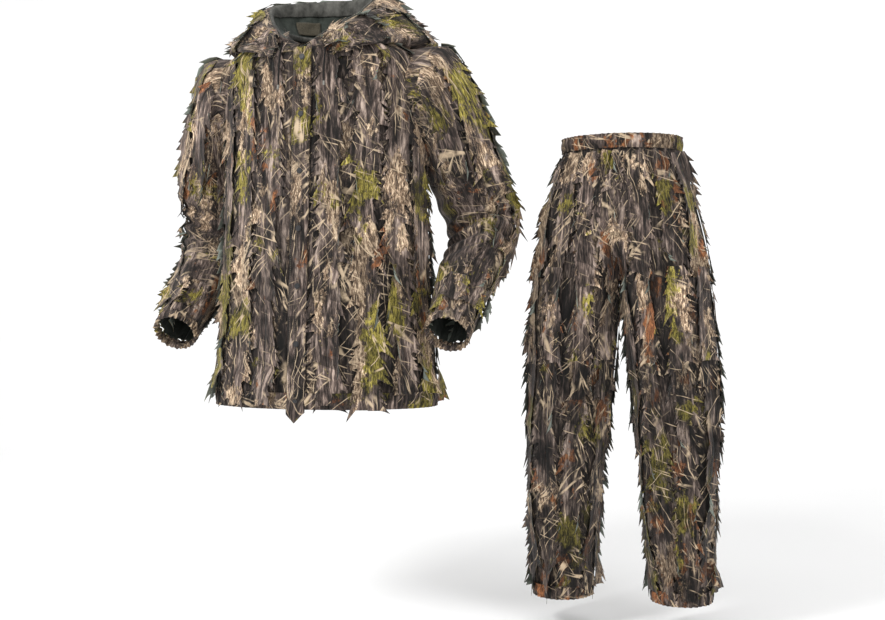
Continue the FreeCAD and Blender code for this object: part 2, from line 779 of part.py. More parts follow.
def build_leg(side, name):
    """Thigh and shin sections, leaf strips on both, and the elasticated ankle."""
    cloth = -size("cloth_thickness")
    off = size("leaf_stand_off")
    outer = off + size("leaf_thickness")
    for upper, section in ((True, "thigh"), (False, "shin")):
        shell = cut(leg_form(side, upper, 0, 0), leg_form(side, upper, cloth, 1))
        keep(shell, "%s_%s_panel" % (name, section))
        layer = cut(leg_form(side, upper, outer, 0), leg_form(side, upper, off, 1))
        high, low = ("thigh", "knee") if upper else ("knee", "ankle")
        high_level = size("crotch_level") if upper else size("knee_level")
        low_level = size("knee_level") if upper else size("ankle_level")
        start = trousers_middle(high_level - 24) + Vector(side * size(high + "_offset"), 0, 0)
        end = trousers_middle(low_level + 12) + Vector(side * size(low + "_offset"), 0, 0)
        leaves = limb_leaves(layer, start, end, Vector(0, -1, 0), Vector(1, 0, 0), (-34, 34))
        keep(leaves, "%s_%s_leaf_strips" % (name, section))
    ankle = trousers_middle(size("ankle_level") - size("ankle_band_height") - 0.5)
    ankle = ankle + Vector(side * size("ankle_offset"), 0, 0)
    band(name + "_ankle", ankle, Vector(0, 0, 1), Vector(0, 1, 0), "dims.ankle_half_depth",
         "dims.ankle_half_width", size("ankle_band_height"))


# ---- build, check and write -------------------------------------------------------------------

build_jacket_body()
build_placket()
build_snaps()
build_jacket_hem()
build_jacket_leaves()
build_hood()
build_neck_fittings()
build_eyelets()
build_drawcords()
for side, name in ((1, "left"), (-1, "right")):
    build_sleeve(side, name)
build_seat()
for side, name in ((1, "left"), (-1, "right")):
    build_leg(side, name)

doc.recompute()
for obj in doc.Objects:
    if "Invalid" in obj.State or "Error" in obj.State:
        raise RuntimeError("%s failed: %s" % (obj.Name, obj.State))
for node, obj in sub_parts:
    if obj.Shape.isNull() or not obj.Shape.isValid():
        raise RuntimeError(node + " has no valid shape")

os.makedirs("parts", exist_ok=True)
for node, obj in sub_parts:
    obj.Shape.exportStep("parts/%s.step" % node)
    print("%-34s solids %2d volume %10.0f" % (node, len(obj.Shape.Solids), obj.Shape.Volume))
print(len(sub_parts), "sub-parts")
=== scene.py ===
from math import asin, cos, exp, pi, radians, sin, sqrt, tanh
import random

import bpy
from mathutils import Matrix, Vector


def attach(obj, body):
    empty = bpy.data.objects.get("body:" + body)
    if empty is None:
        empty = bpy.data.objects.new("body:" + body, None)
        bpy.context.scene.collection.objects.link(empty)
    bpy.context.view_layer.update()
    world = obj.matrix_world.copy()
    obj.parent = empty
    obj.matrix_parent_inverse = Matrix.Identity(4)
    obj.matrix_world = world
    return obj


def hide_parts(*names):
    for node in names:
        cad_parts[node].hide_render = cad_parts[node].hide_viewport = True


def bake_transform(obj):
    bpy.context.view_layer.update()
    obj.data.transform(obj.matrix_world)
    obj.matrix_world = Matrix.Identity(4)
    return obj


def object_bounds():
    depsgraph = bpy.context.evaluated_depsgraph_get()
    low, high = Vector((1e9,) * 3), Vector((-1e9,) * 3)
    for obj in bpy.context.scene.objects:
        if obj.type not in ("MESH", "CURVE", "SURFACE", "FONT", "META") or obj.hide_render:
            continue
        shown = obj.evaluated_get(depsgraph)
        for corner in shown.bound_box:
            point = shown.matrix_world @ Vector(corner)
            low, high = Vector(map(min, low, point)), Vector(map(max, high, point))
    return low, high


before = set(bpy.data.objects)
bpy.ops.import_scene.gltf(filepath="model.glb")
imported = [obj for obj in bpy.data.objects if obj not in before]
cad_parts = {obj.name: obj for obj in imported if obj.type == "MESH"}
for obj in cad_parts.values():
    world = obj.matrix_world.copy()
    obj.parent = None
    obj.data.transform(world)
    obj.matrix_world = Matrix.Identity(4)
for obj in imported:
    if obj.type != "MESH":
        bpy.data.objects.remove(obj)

CAD_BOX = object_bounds()
MM = 0.001
DOWN = Vector((0, 0, -1))
LEFT = Vector((1, 0, 0))
FRONT = Vector((0, -1, 0))
SIDES = ((1, "left"), (-1, "right"))


# ---- camera ----

VIEW_AZIMUTH = radians(16)
VIEW_DISTANCE = 2.8
PICTURE_WIDTH = 1.991
SENSOR_WIDTH = 36.0


def add_object(name, data):
    obj = bpy.data.objects.new(name, data)
    bpy.context.scene.collection.objects.link(obj)
    return obj


def aim(obj, place, target):
    """Puts a camera or lamp at a place, looking at its target."""
    obj.location = place
    obj.rotation_euler = (Vector(target) - Vector(place)).to_track_quat("-Z", "Y").to_euler()


def make_camera():
    """The camera faces the suit from a little to its wearer's left, level with the jacket's hem."""
    across = Vector((cos(VIEW_AZIMUTH), sin(VIEW_AZIMUTH), 0))
    back = Vector((sin(VIEW_AZIMUTH), -cos(VIEW_AZIMUTH), 0))
    target = across * 0.262 + Vector((0, 0, -0.619))
    data = bpy.data.cameras.new("camera")
    data.sensor_width = SENSOR_WIDTH
    data.lens = SENSOR_WIDTH * VIEW_DISTANCE / PICTURE_WIDTH
    camera = add_object("camera", data)
    aim(camera, target + back * VIEW_DISTANCE, target)
    bpy.context.scene.camera = camera


make_camera()


# ---- materials ----

BARK_DARK = (0.006, 0.005, 0.004)
BARK_DEEP = (0.020, 0.015, 0.013)
BARK_MID = (0.088, 0.064, 0.054)
BARK_LIGHT = (0.44, 0.345, 0.285)
STRAW = (0.52, 0.40, 0.27)
TAN_DARK = (0.16, 0.105, 0.066)
TAN_LIGHT = (0.66, 0.51, 0.355)
MOSS_DARK = (0.060, 0.050, 0.010)
MOSS_LIGHT = (0.33, 0.275, 0.060)
RUST_DARK = (0.085, 0.030, 0.012)
RUST_LIGHT = (0.34, 0.145, 0.060)
UNDERSIDE = (0.27, 0.30, 0.26)
UNDERSIDE_DARK = (0.13, 0.15, 0.125)
LINING_DARK = (0.012, 0.015, 0.012)
LINING_LIGHT = (0.046, 0.054, 0.045)
BAND_DARK = (0.030, 0.030, 0.026)
BAND_LIGHT = (0.115, 0.112, 0.100)


class Nodes:
    """A small helper that adds shader nodes and joins them."""

    def __init__(self, name):
        self.material = bpy.data.materials.new(name)
        self.material.use_nodes = True
        self.tree = self.material.node_tree
        self.shader = self.tree.nodes["Principled BSDF"]

    def add(self, kind, inputs=(), **settings):
        made = self.tree.nodes.new(kind)
        for key, value in settings.items():
            setattr(made, key, value)
        for key, value in dict(inputs).items():
            self.join(value, made.inputs[key])
        return made

    def join(self, value, socket):
        if isinstance(value, bpy.types.NodeSocket):
            self.tree.links.new(value, socket)
        else:
            socket.default_value = value

    def math(self, operation, first, second=0.0):
        return self.add("ShaderNodeMath", {0: first, 1: second}, operation=operation).outputs[0]

    def mix(self, factor, first, second, blend="MIX"):
        made = self.add("ShaderNodeMix", {0: factor, 6: full(first), 7: full(second)},
                        data_type="RGBA", blend_type=blend)
        return made.outputs[2]

    def step(self, value, low, high):
        """0 below low, 1 above high, and smooth between them."""
        made = self.add("ShaderNodeMapRange", {0: value, 1: low, 2: high, 3: 0.0, 4: 1.0},
                        interpolation_type="SMOOTHSTEP")
        return made.outputs[0]

    def ramp(self, value, stops):
        made = self.add("ShaderNodeValToRGB", {0: value})
        elements = made.color_ramp.elements
        while len(elements) < len(stops):
            elements.new(0.5)
        for element, (place, colour) in zip(elements, stops):
            element.position = place
            element.color = full(colour)
        return made.outputs[0]

    def scaled(self, vector, scale, shift=(0, 0, 0), turn=0.0):
        turned = self.add("ShaderNodeMapping", {0: vector, 1: shift, 2: (0, 0, turn)})
        return self.add("ShaderNodeMapping", {0: turned.outputs[0], 3: scale}).outputs[0]

    def noise(self, vector, scale=1.0, detail=4.0, roughness=0.55, distortion=0.0):
        made = self.add("ShaderNodeTexNoise", {"Vector": vector, "Scale": scale, "Detail": detail,
                                               "Roughness": roughness, "Distortion": distortion})
        return made.outputs[0]

    def bump(self, height, strength, distance):
        made = self.add("ShaderNodeBump", {"Height": height, "Strength": strength, "Distance": distance})
        self.tree.links.new(made.outputs[0], self.shader.inputs["Normal"])

    def finish(self, colour, roughness=0.85, sheen=0.0, specular=0.25):
        for key, value in (("Base Color", colour), ("Roughness", roughness), ("Sheen Weight", sheen),
                           ("Specular IOR Level", specular)):
            self.join(value, self.shader.inputs[key])
        return self.material


def full(colour):
    """A colour with its alpha, or a socket as it is."""
    if isinstance(colour, tuple) and len(colour) == 3:
        return (*colour, 1.0)
    return colour


def print_coordinates(nodes):
    """Metres across and along the printed cloth."""
    return nodes.add("ShaderNodeAttribute", attribute_name="print").outputs["Vector"]


def twig_lines(nodes, vector, turn, scale, width, seed):
    """Thin, long lines like dry grass stems, all leaning one way, in scattered clusters."""
    wander = nodes.noise(nodes.scaled(vector, (9, 9, 1), (seed, 0, 0)), detail=2)
    offset = nodes.add("ShaderNodeCombineXYZ", {0: nodes.math("MULTIPLY", wander, 0.05)}).outputs[0]
    bent = nodes.add("ShaderNodeVectorMath", {0: vector, 1: offset}, operation="ADD").outputs[0]
    place = nodes.scaled(bent, (scale, scale * 0.085, 3), (seed, seed * 0.7, 0), turn)
    cells = nodes.add("ShaderNodeTexVoronoi", {"Vector": place, "Scale": 1.0},
                      feature="DISTANCE_TO_EDGE").outputs[0]
    line = nodes.math("SUBTRACT", 1.0, nodes.step(cells, width * 0.3, width))
    cluster = nodes.step(nodes.noise(nodes.scaled(vector, (11, 11, 1), (0, seed, 0)), detail=1), 0.54, 0.64)
    faded = nodes.noise(nodes.scaled(vector, (60, 60, 1), (seed, 3, 0)), detail=2)
    return nodes.math("MULTIPLY", nodes.math("MULTIPLY", line, cluster), nodes.step(faded, 0.30, 0.60))


def camo_colour(nodes, vector, tan=0.57, moss=0.60, rust=0.66, depth=1.0):
    """Bark streaks with patches of tan leaf, moss and rust, and straw-coloured stems over them."""
    broad = nodes.noise(nodes.scaled(vector, (46, 9, 1)), detail=5, roughness=0.66, distortion=0.5)
    fine = nodes.noise(nodes.scaled(vector, (230, 30, 1), (9, 2, 0)), detail=4, roughness=0.7)
    streaks = nodes.math("ADD", nodes.math("MULTIPLY", broad, 0.58), nodes.math("MULTIPLY", fine, 0.42))
    bark = nodes.ramp(streaks, [(0.40, BARK_DARK), (0.47, BARK_DEEP), (0.54, BARK_MID), (0.65, BARK_LIGHT)])
    grain = nodes.scaled(vector, (240, 60, 1), (3, 1, 0))
    grain = nodes.noise(grain, detail=5, roughness=0.75, distortion=0.8)
    tan_colour = nodes.ramp(grain, [(0.38, BARK_DEEP), (0.50, TAN_DARK), (0.63, TAN_LIGHT)])
    moss_colour = nodes.ramp(grain, [(0.36, BARK_DARK), (0.46, MOSS_DARK), (0.63, MOSS_LIGHT)])
    rust_colour = nodes.ramp(grain, [(0.38, BARK_DEEP), (0.46, RUST_DARK), (0.66, RUST_LIGHT)])
    torn = nodes.noise(nodes.scaled(vector, (90, 60, 1), (7, 0, 0)), detail=5, roughness=0.75)
    torn = nodes.math("MULTIPLY", nodes.math("SUBTRACT", torn, 0.5), 0.46)

    def patches(scale, seed, threshold):
        value = nodes.noise(nodes.scaled(vector, scale, (seed, seed * 1.7, 0)), detail=2)
        return nodes.step(nodes.math("ADD", value, torn), threshold, threshold + 0.05)

    colour = nodes.mix(patches((15, 6, 1), 2.3, tan), bark, tan_colour)
    colour = nodes.mix(patches((8, 6, 1), 11.1, moss), colour, moss_colour)
    colour = nodes.mix(patches((16, 9, 1), 23.9, rust), colour, rust_colour)
    place = nodes.scaled(vector, (26, 15, 1), (1, 4, 0), 0.4)
    cells = nodes.add("ShaderNodeTexVoronoi", {"Vector": place, "Scale": 1.0}).outputs[1]
    chance = nodes.add("ShaderNodeSeparateColor", {0: cells}).outputs[0]
    # depth scales the whole print's brightness. The low values given to the ground cloth under the strips and
    # to the lower legs' leaves are painted shade.
    shade = nodes.add("ShaderNodeMapRange", {0: chance, 3: 0.50 * depth, 4: 1.45 * depth}).outputs[0]
    patchwork = nodes.add("ShaderNodeCombineColor", {0: shade, 1: shade, 2: shade}).outputs[0]
    colour = nodes.mix(1.0, colour, patchwork, "MULTIPLY")
    for turn, scale, seed in ((0.55, 46, 5.0), (-0.75, 40, 17.0), (0.08, 58, 31.0), (1.25, 36, 43.0)):
        colour = nodes.mix(twig_lines(nodes, vector, turn, scale, 0.036, seed), colour, STRAW)
    return colour


def weave(nodes, vector, strength=0.35):
    """Fine woven threads and small creases in the surface."""
    across = nodes.scaled(vector, (900, 900, 1))
    threads = nodes.add("ShaderNodeTexWave", {"Vector": across, "Scale": 1.0}).outputs[1]
    creases = nodes.noise(nodes.scaled(vector, (70, 45, 1), (5, 5, 0)), detail=5, roughness=0.6)
    height = nodes.math("ADD", nodes.math("MULTIPLY", threads, 0.06), creases)
    nodes.bump(height, strength, 0.004)


def printed_cloth(name, **places):
    nodes = Nodes(name)
    vector = print_coordinates(nodes)
    weave(nodes, vector)
    return nodes.finish(camo_colour(nodes, vector, **places), roughness=0.86, sheen=0.06)


def pale_underside(name):
    """The unprinted wrong side of the leaf cloth, in pale grey-green tones that wander a little."""
    nodes = Nodes(name)
    vector = print_coordinates(nodes)
    cloud = nodes.noise(nodes.scaled(vector, (40, 22, 1)), detail=5, roughness=0.65)
    colour = nodes.ramp(cloud, [(0.32, UNDERSIDE_DARK), (0.62, UNDERSIDE)])
    weave(nodes, vector, 0.25)
    return nodes.finish(colour, roughness=0.9, sheen=0.05)


def plain_cloth(name, dark, light, scale=(60, 60, 60)):
    """Cloth whose tone wanders a little, placed by position."""
    nodes = Nodes(name)
    position = nodes.add("ShaderNodeTexCoord").outputs["Object"]
    cloud = nodes.noise(nodes.scaled(position, scale), detail=6, roughness=0.68)
    colour = nodes.ramp(cloud, [(0.34, dark), (0.66, light)])
    threads = nodes.noise(nodes.scaled(position, (700, 700, 700)), detail=2)
    nodes.bump(nodes.math("ADD", nodes.math("MULTIPLY", threads, 0.3), cloud), 0.3, 0.003)
    return nodes.finish(colour, roughness=0.9, sheen=0.05)


def enamel(name, dark, light, roughness):
    """Black enamel with faint scuffs."""
    nodes = Nodes(name)
    position = nodes.add("ShaderNodeTexCoord").outputs["Object"]
    scuffs = nodes.noise(nodes.scaled(position, (900, 900, 900)), detail=5, roughness=0.7)
    colour = nodes.ramp(scuffs, [(0.42, dark), (0.75, light)])
    nodes.bump(scuffs, 0.12, 0.0004)
    return nodes.finish(colour, roughness=roughness, specular=0.5)


def braid(name, dark, light):
    """Two crossing sets of diagonal ridges."""
    nodes = Nodes(name)
    position = nodes.add("ShaderNodeTexCoord").outputs["Object"]
    ridges = []
    for turn in (0.7, -0.7):
        turned = nodes.add("ShaderNodeMapping", {0: position, 2: (0, turn, 0), 3: (1100, 1100, 1100)})
        ridges.append(nodes.add("ShaderNodeTexWave", {"Vector": turned.outputs[0], "Scale": 1.0},
                                bands_direction="Z").outputs[1])
    height = nodes.math("MULTIPLY", ridges[0], ridges[1])
    nodes.bump(height, 0.6, 0.0008)
    # The colour follows the ridges' height: painted shade in the grooves and painted highlight on the ridge
    # tops.
    return nodes.finish(nodes.ramp(height, [(0.1, dark), (0.9, light)]), roughness=0.8)


JACKET_PRINT = printed_cloth("jacket_print")
LEAF_PRINT = printed_cloth("leaf_print", tan=0.555, moss=0.555, depth=1.16)
TROUSER_PRINT = printed_cloth("trouser_print", tan=0.58, moss=0.625, rust=0.60)
TROUSER_LEAF = printed_cloth("trouser_leaf", tan=0.56, moss=0.590, rust=0.605, depth=1.22)
# The lower legs' leaves are a darker copy of the thighs' (depth 0.66 against 1.22): painted shade on the
# lower legs.
SHIN_LEAF_PAINTED_SHADE = printed_cloth("shin_leaf", tan=0.60, moss=0.580, rust=0.61, depth=0.66)
# The ground cloth under the leaf strips has its print darkened to about half (depth 0.52 and 0.50): painted
# shade for the dark gaps between the strips.
GROUND_PRINT_PAINTED_SHADE = printed_cloth("ground_print_painted_shade", tan=0.60, moss=0.66, rust=0.70, depth=0.52)
TROUSER_GROUND_PAINTED_SHADE = printed_cloth("trouser_ground_painted_shade", tan=0.60, moss=0.66, rust=0.66, depth=0.50)
LEAF_UNDER = pale_underside("leaf_underside")
LINING = plain_cloth("lining", LINING_DARK, LINING_LIGHT, (34, 34, 20))
BAND_CLOTH = plain_cloth("tunnel_cloth", BAND_DARK, BAND_LIGHT, (45, 45, 30))
LABEL_CLOTH = plain_cloth("label_cloth", (0.030, 0.026, 0.018), (0.075, 0.064, 0.042), (300, 300, 300))
THREAD = plain_cloth("thread", (0.06, 0.05, 0.04), (0.19, 0.16, 0.12), (900, 900, 900))
SNAP_BLACK = enamel("snap_black", (0.008, 0.008, 0.009), (0.035, 0.034, 0.035), 0.32)
SNAP_STEEL = enamel("snap_steel", (0.020, 0.020, 0.021), (0.075, 0.073, 0.071), 0.45)
CORD_BLACK = braid("cord_black", (0.004, 0.004, 0.004), (0.022, 0.021, 0.020))
CORD_TIP = enamel("cord_tip_plastic", (0.13, 0.125, 0.11), (0.32, 0.31, 0.28), 0.5)


# ---- drawcords ----

EYELET_CENTRE = Vector((0.052, -0.1151, -0.034))
CORD_DIAMETER = 0.0035
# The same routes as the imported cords', in millimetres from the eyelet: sideways, forward, up.
CORD_ROUTES = {
    "left": ([(0, 3, 0), (0.6, -6, -1), (0.2, -14, -9), (-0.6, -21.5, -24), (0.5, -27.5, -44),
              (-0.4, -30.5, -68), (0.4, -32.5, -98)], 0.1118),
    "right": ([(0, 3, 0), (-0.5, -6, -1), (0.3, -14.5, -9), (0.9, -21.5, -25), (-0.3, -27.5, -46),
               (0.7, -31, -71), (-0.2, -33, -102)], 0.1159),
}


def on_side(vector, side):
    """A point or direction given for the wearer's left, put on either side."""
    return Vector((vector.x * side, vector.y, vector.z))


def make_drawcord(side, name):
    """One free end of the hood's drawcord, hanging from its eyelet."""
    steps, length = CORD_ROUTES[name]
    exit_point = on_side(EYELET_CENTRE, side)
    curve = bpy.data.curves.new(name + "_cord", "CURVE")
    curve.dimensions = "3D"
    curve.bevel_depth = CORD_DIAMETER / 2
    curve.bevel_resolution = 3
    spline = curve.splines.new("NURBS")
    spline.points.add(len(steps) - 1)
    for point, step in zip(spline.points, steps):
        point.co = (*(exit_point + Vector(step) * MM), 1)
    spline.order_u = 3
    spline.use_endpoint_u = True
    curve.materials.append(CORD_BLACK)
    obj = add_object(name + "_cord", curve)
    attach(obj, "jacket")
    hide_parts(name + "_drawcord")


for side, side_name in SIDES:
    make_drawcord(side, side_name)


# ---- garment surfaces ----

CLOTH_THICKNESS = 0.0012
LEAF_THICKNESS = 0.0007
BAND_THICKNESS = 0.0009
TAPE_THICKNESS = 0.0008
PLACKET_THICKNESS = 0.0016
THREAD_THICKNESS = 0.0005


def clamp(value, low=0.0, high=1.0):
    return max(low, min(high, value))


def in_radians(*angles):
    return [radians(angle) for angle in angles]


def points(*places):
    return [Vector(place) for place in places]


def spread(low, high, steps):
    """Evenly spaced values from low to high."""
    return [low + (high - low) * k / steps for k in range(steps + 1)]


def smooth(value, low, high):
    """0 before low, 1 after high."""
    t = clamp((value - low) / (high - low))
    return t * t * (3 - 2 * t)


def hump(value, middle, width):
    """1 at the middle, fading to 0 a width away from it."""
    return exp(-((value - middle) / width) ** 2)


def pass_through(places, values, place):
    """The value at a place on a smooth curve through values at given places, straight on beyond its ends."""
    last = len(places) - 2
    index = 0
    while index < last and place > places[index + 1]:
        index += 1
    span = places[index + 1] - places[index]
    x = (place - places[index]) / span

    def slope(key):
        low, high = max(0, key - 1), min(last + 1, key + 1)
        return (values[high] - values[low]) / (places[high] - places[low])

    if x < 0 or x > 1:
        end = index if x < 0 else index + 1
        return values[end] + slope(end) * (place - places[end])
    return (values[index] * (2 * x ** 3 - 3 * x ** 2 + 1) + slope(index) * span * (x ** 3 - 2 * x ** 2 + x)
            + values[index + 1] * (3 * x ** 2 - 2 * x ** 3) + slope(index + 1) * span * (x ** 3 - x ** 2))


class Surface:
    """Cloth given by point(u, t): u runs across it and t, from 0 to 1, down it. Strips stand off it by
    `flare` more near its end, over the gathered band there."""

    flare = 0.0

    def frame(self, u, t):
        """Point, outward normal, direction down and direction across, towards larger u."""
        step_u, step_t = 0.03, 0.004
        here = self.point(u, t)
        down = (self.point(u, t + step_t) - self.point(u, t - step_t)).normalized()
        around = self.point(u + step_u, t) - self.point(u - step_u, t)
        normal = (down.cross(around) * self.turn).normalized()
        return here, normal, down, normal.cross(down) * self.turn


class Tube(Surface):
    """Rings down a garment. Each has its centre, its half axis to the side, at u = 90 degrees, and
    its half axis to the front, at u = 0."""

    def __init__(self, rings, folds=None, pinch=None):
        self.rings = rings
        self.folds = folds or (lambda u, t: 0.0)
        self.pinch = pinch or (lambda u, t: 1.0)
        self.places = [0.0]
        for first, second in zip(rings, rings[1:]):
            self.places.append(self.places[-1] + (second[0] - first[0]).length)
        self.length = self.places[-1]
        down = rings[1][0] - rings[0][0]
        self.turn = 1 if rings[0][1].cross(rings[0][2]).dot(down) > 0 else -1

    def ring(self, t):
        """Centre, sideways half axis and forward half axis at t."""
        return [pass_through(self.places, [ring[part] for ring in self.rings], t * self.length)
                for part in range(3)]

    def point(self, u, t):
        centre, aside, forward = self.ring(t)
        out = aside * sin(u) + forward * (cos(u) * self.pinch(u, t))
        return centre + out * (1 + self.folds(u, t) / max(out.length, 0.02))

    def radius(self, t):
        _, aside, forward = self.ring(t)
        return (aside.length + forward.length) / 2

    def place_of(self, centre_place):
        """The t of the ring whose centre is nearest to a point."""
        best = min(range(401), key=lambda i: (self.ring(i / 400)[0] - centre_place).length)
        return best / 400


class Cloth:
    """A mesh being built, with the print's coordinates kept at every corner."""

    def __init__(self):
        self.points = []
        self.print = []
        self.faces = []

    def grid(self, rows, closed=False, flip=False):
        """Quads between rows of corners. Each corner is a point with its print coordinates."""
        start = len(self.points)
        width = len(rows[0])
        for row in rows:
            self.points.extend(point for point, _ in row)
            self.print.extend(mark for _, mark in row)
        for i in range(len(rows) - 1):
            for j in range(width if closed else width - 1):
                a = start + i * width + j
                b = start + i * width + (j + 1) % width
                face = (a, b, b + width, a + width)
                self.faces.append(face[::-1] if flip else face)

    def keep(self, chosen):
        """Drops every face whose middle isn't wanted."""
        def middle(face):
            return sum((self.points[k] for k in face), Vector()) / 4

        self.faces = [face for face in self.faces if chosen(middle(face))]

    def build(self, name, material, thickness=None, under=None, rounded=False):
        """Makes the object. `under` is the material of the cloth's wrong side."""
        mesh = bpy.data.meshes.new(name)
        mesh.from_pydata([tuple(point) for point in self.points], [], self.faces)
        attribute = mesh.attributes.new("print", "FLOAT_VECTOR", "POINT")
        attribute.data.foreach_set("vector", [part for mark in self.print for part in mark])
        mesh.materials.append(material)
        mesh.polygons.foreach_set("use_smooth", [True] * len(self.faces))
        mesh.update()
        obj = add_object(name, mesh)
        if rounded:
            rounding = obj.modifiers.new("rounding", "SUBSURF")
            rounding.levels = 1
            rounding.render_levels = 1
        if thickness:
            solid = obj.modifiers.new("thickness", "SOLIDIFY")
            solid.thickness = thickness
            if under:
                mesh.materials.append(under)
                solid.material_offset = 1
        return obj


def cloth_grid(rows, columns, corner, **options):
    """Cloth of one grid. corner(row, column) gives a point with its print coordinates."""
    cloth = Cloth()
    cloth.grid([[corner(row, column) for column in columns] for row in rows], **options)
    return cloth


def cloth_panel(surface, u_from, u_to, t_from, t_to, across, along, seed, top=None):
    """A panel of a surface. `top` moves each column's upper end."""
    def corner(i, u):
        start = top(u) if top else t_from
        t = start + (t_to - start) * i / along
        return surface.point(u, t), (u * surface.radius(t), t * surface.length, seed)

    return cloth_grid(range(along + 1), spread(u_from, u_to, across), corner, flip=surface.turn > 0)


def belongs(obj, nodes, body=None, bends=None):
    """Hides the CAD nodes a piece stands for and hangs it on one body; with `bends` it is only baked in
    place, and the bodies and hinge in `bends` are not used.
    """
    if bends:
        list(bends)
        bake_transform(obj)
    else:
        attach(obj, body)
    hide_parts(*nodes)


def lined_panel(name, cloth, material, nodes, body=None, bends=None):
    """A panel of printed cloth with a dark wrong side."""
    obj = cloth.build(name, material, CLOTH_THICKNESS, LINING)
    belongs(obj, nodes, body, bends)


# ---- leaf strips ----

# Along one lobe: how far down it each row is, and how far out its edge reaches, down to the tip.
LOBE_OUTLINE = [(0.00, 0.50), (0.14, 0.58), (0.27, 0.86), (0.32, 0.58), (0.46, 0.70), (0.60, 0.98),
                (0.66, 0.66), (0.85, 1.12), (0.92, 0.54)]
COLUMNS = (0.0, 0.24, 0.48, 0.70, 0.86, 1.0)
STITCH_LIFT = 0.003
HIGHEST_LIFT = 0.024
END_STAGGER = 0.022
FLIPPED_SHARE = 0.11
# How much lobes differ: their length and reach as shares of the usual, droop as a share of length, and
# how far a flipped one bends over, in radians.
LOBE_LENGTHS, LOBE_REACHES, LOBE_DROOPS, FLIPPED_BENDS = (0.60, 1.65), (0.70, 1.20), (0.10, 0.36), (1.7, 2.6)
# A strip's size: how far it reaches each side of its stitching, its lobes' length and the most they bend.
LEAF_BEND = 0.80
JACKET_LEAF = (0.045, 0.058, LEAF_BEND)
HOOD_LEAF = (0.046, 0.036, 0.9)
UPPER_SLEEVE_LEAF = (0.043, 0.052, LEAF_BEND)
LOWER_SLEEVE_LEAF = (0.043 * 0.86, 0.052 * 0.9, LEAF_BEND * 1.2)
THIGH_LEAF = (0.037, 0.048, LEAF_BEND)
LOWER_LEG_LEAF = (0.037, 0.048, LEAF_BEND * 1.15)


def add_wing(cloth, surface, centre_line, side, t_from, t_to, size, rng, seed, shift):
    """One half of a strip, from its stitched middle out to its ragged lobes."""
    width, pitch, most_bend = size
    place = t_from * surface.length
    end = t_to * surface.length
    rows = []
    previous_bend = rng.uniform(0.2, most_bend)
    while place < end:
        lobe = pitch * rng.uniform(*LOBE_LENGTHS)
        reach = width * rng.uniform(*LOBE_REACHES)
        bend = rng.uniform(0.08, most_bend)
        if rng.random() < FLIPPED_SHARE:
            bend = rng.uniform(*FLIPPED_BENDS)
        droop = lobe * rng.uniform(*LOBE_DROOPS)
        for fraction, factor in LOBE_OUTLINE:
            along = place + lobe * fraction
            if along > end:
                break
            t = along / surface.length
            here, normal, down, around = surface.frame(centre_line(t), t)
            radius = max(0.05, surface.radius(t))
            edge = reach * factor * rng.uniform(0.95, 1.05)
            bend_here = previous_bend + (bend - previous_bend) * smooth(fraction, 0.0, 0.6)
            row = []
            x, lift, last = 0.0, STITCH_LIFT + surface.flare * smooth(t, 0.92, 0.965), 0.0
            for column in COLUMNS:
                step = (column - last) * edge
                last = column
                angle = bend_here * (column * factor) ** 1.5
                x += step * cos(angle)
                lift += step * sin(angle)
                hug = 0.75 * x * x / (2 * radius)
                slide = droop * (column * factor) ** 3 * smooth(factor, 0.6, 1.0)
                stand = HIGHEST_LIFT * tanh(lift / HIGHEST_LIFT) - hug
                row.append((here + around * (side * x) + normal * stand + down * slide,
                            (side * column * edge + shift[0], along + slide + shift[1], seed)))
            rows.append(row)
        previous_bend = bend * 0.6
        place += lobe
    if len(rows) > 1:
        cloth.grid(rows, flip=side * surface.turn > 0)


def leaf_strips(node, surface, lines, t_from, t_to, size, seed, material, body=None, bends=None, name=None):
    """All the strips of one CAD node as one piece, each sewn down its middle."""
    rng = random.Random(seed)
    cloth = Cloth()
    for number, angle in enumerate(lines):
        drift = rng.uniform(0.008, 0.02)
        phase = rng.uniform(0, 6.28)
        start = t_from(angle) if callable(t_from) else t_from
        stop = t_to + rng.uniform(-END_STAGGER, END_STAGGER)
        pattern = seed * 0.37 + number * 2.13
        shift = (rng.uniform(-3, 3), rng.uniform(-3, 3))

        def centre_line(t, angle=angle, drift=drift, phase=phase):
            return angle + drift * sin(t * 9 + phase)

        for side in (1, -1):
            add_wing(cloth, surface, centre_line, side, start, stop, size, rng, pattern, shift)
    obj = cloth.build(name or node.replace("leaf_strips", "leaves"), material, LEAF_THICKNESS, LEAF_UNDER)
    belongs(obj, [node], body, bends)


# ---- gathered bands ----

# Down a band: how far along it, how far it puffs out, and how deep its pleats are there.
BAND_PROFILE = [(0.00, 0.35, 1.15), (0.12, 0.00, 0.90), (0.30, 0.90, 0.70), (0.50, 1.15, 0.62),
                (0.70, 0.90, 0.70), (0.88, 0.00, 0.90), (1.02, 0.50, 1.20), (0.97, -0.90, 1.00),
                (0.55, -1.20, 0.60)]
PLEAT_COLUMNS = 6


def gathered_band(name, tube, pleats, depth, puff, seed, material, body):
    """A puckered casing round a garment's end, pinched into pleats by the elastic inside it."""
    rng = random.Random(seed)
    around = pleats * PLEAT_COLUMNS
    phases = [rng.uniform(-0.6, 0.6) for _ in range(pleats)]
    heights = [rng.uniform(0.45, 1.35) for _ in range(pleats)]

    def corner(level, j):
        fraction, bulge, share = level
        u = 2 * pi * j / around
        pleat = j // PLEAT_COLUMNS
        wave = 0.5 + 0.5 * cos(2 * pi * j / PLEAT_COLUMNS + phases[pleat])
        here, normal, _, _ = tube.frame(u, fraction)
        out = bulge * puff + depth * share * heights[pleat] * wave
        return here + normal * out, (u * tube.radius(fraction), fraction * tube.length, seed * 0.9)

    cloth = cloth_grid(BAND_PROFILE, range(around), corner, closed=True, flip=tube.turn > 0)
    obj = cloth.build(name, material, BAND_THICKNESS, rounded=True)
    stem = name.removeprefix("jacket_")
    belongs(obj, [stem + "_casing", stem + "_elastic"], body)


# ---- jacket body ----

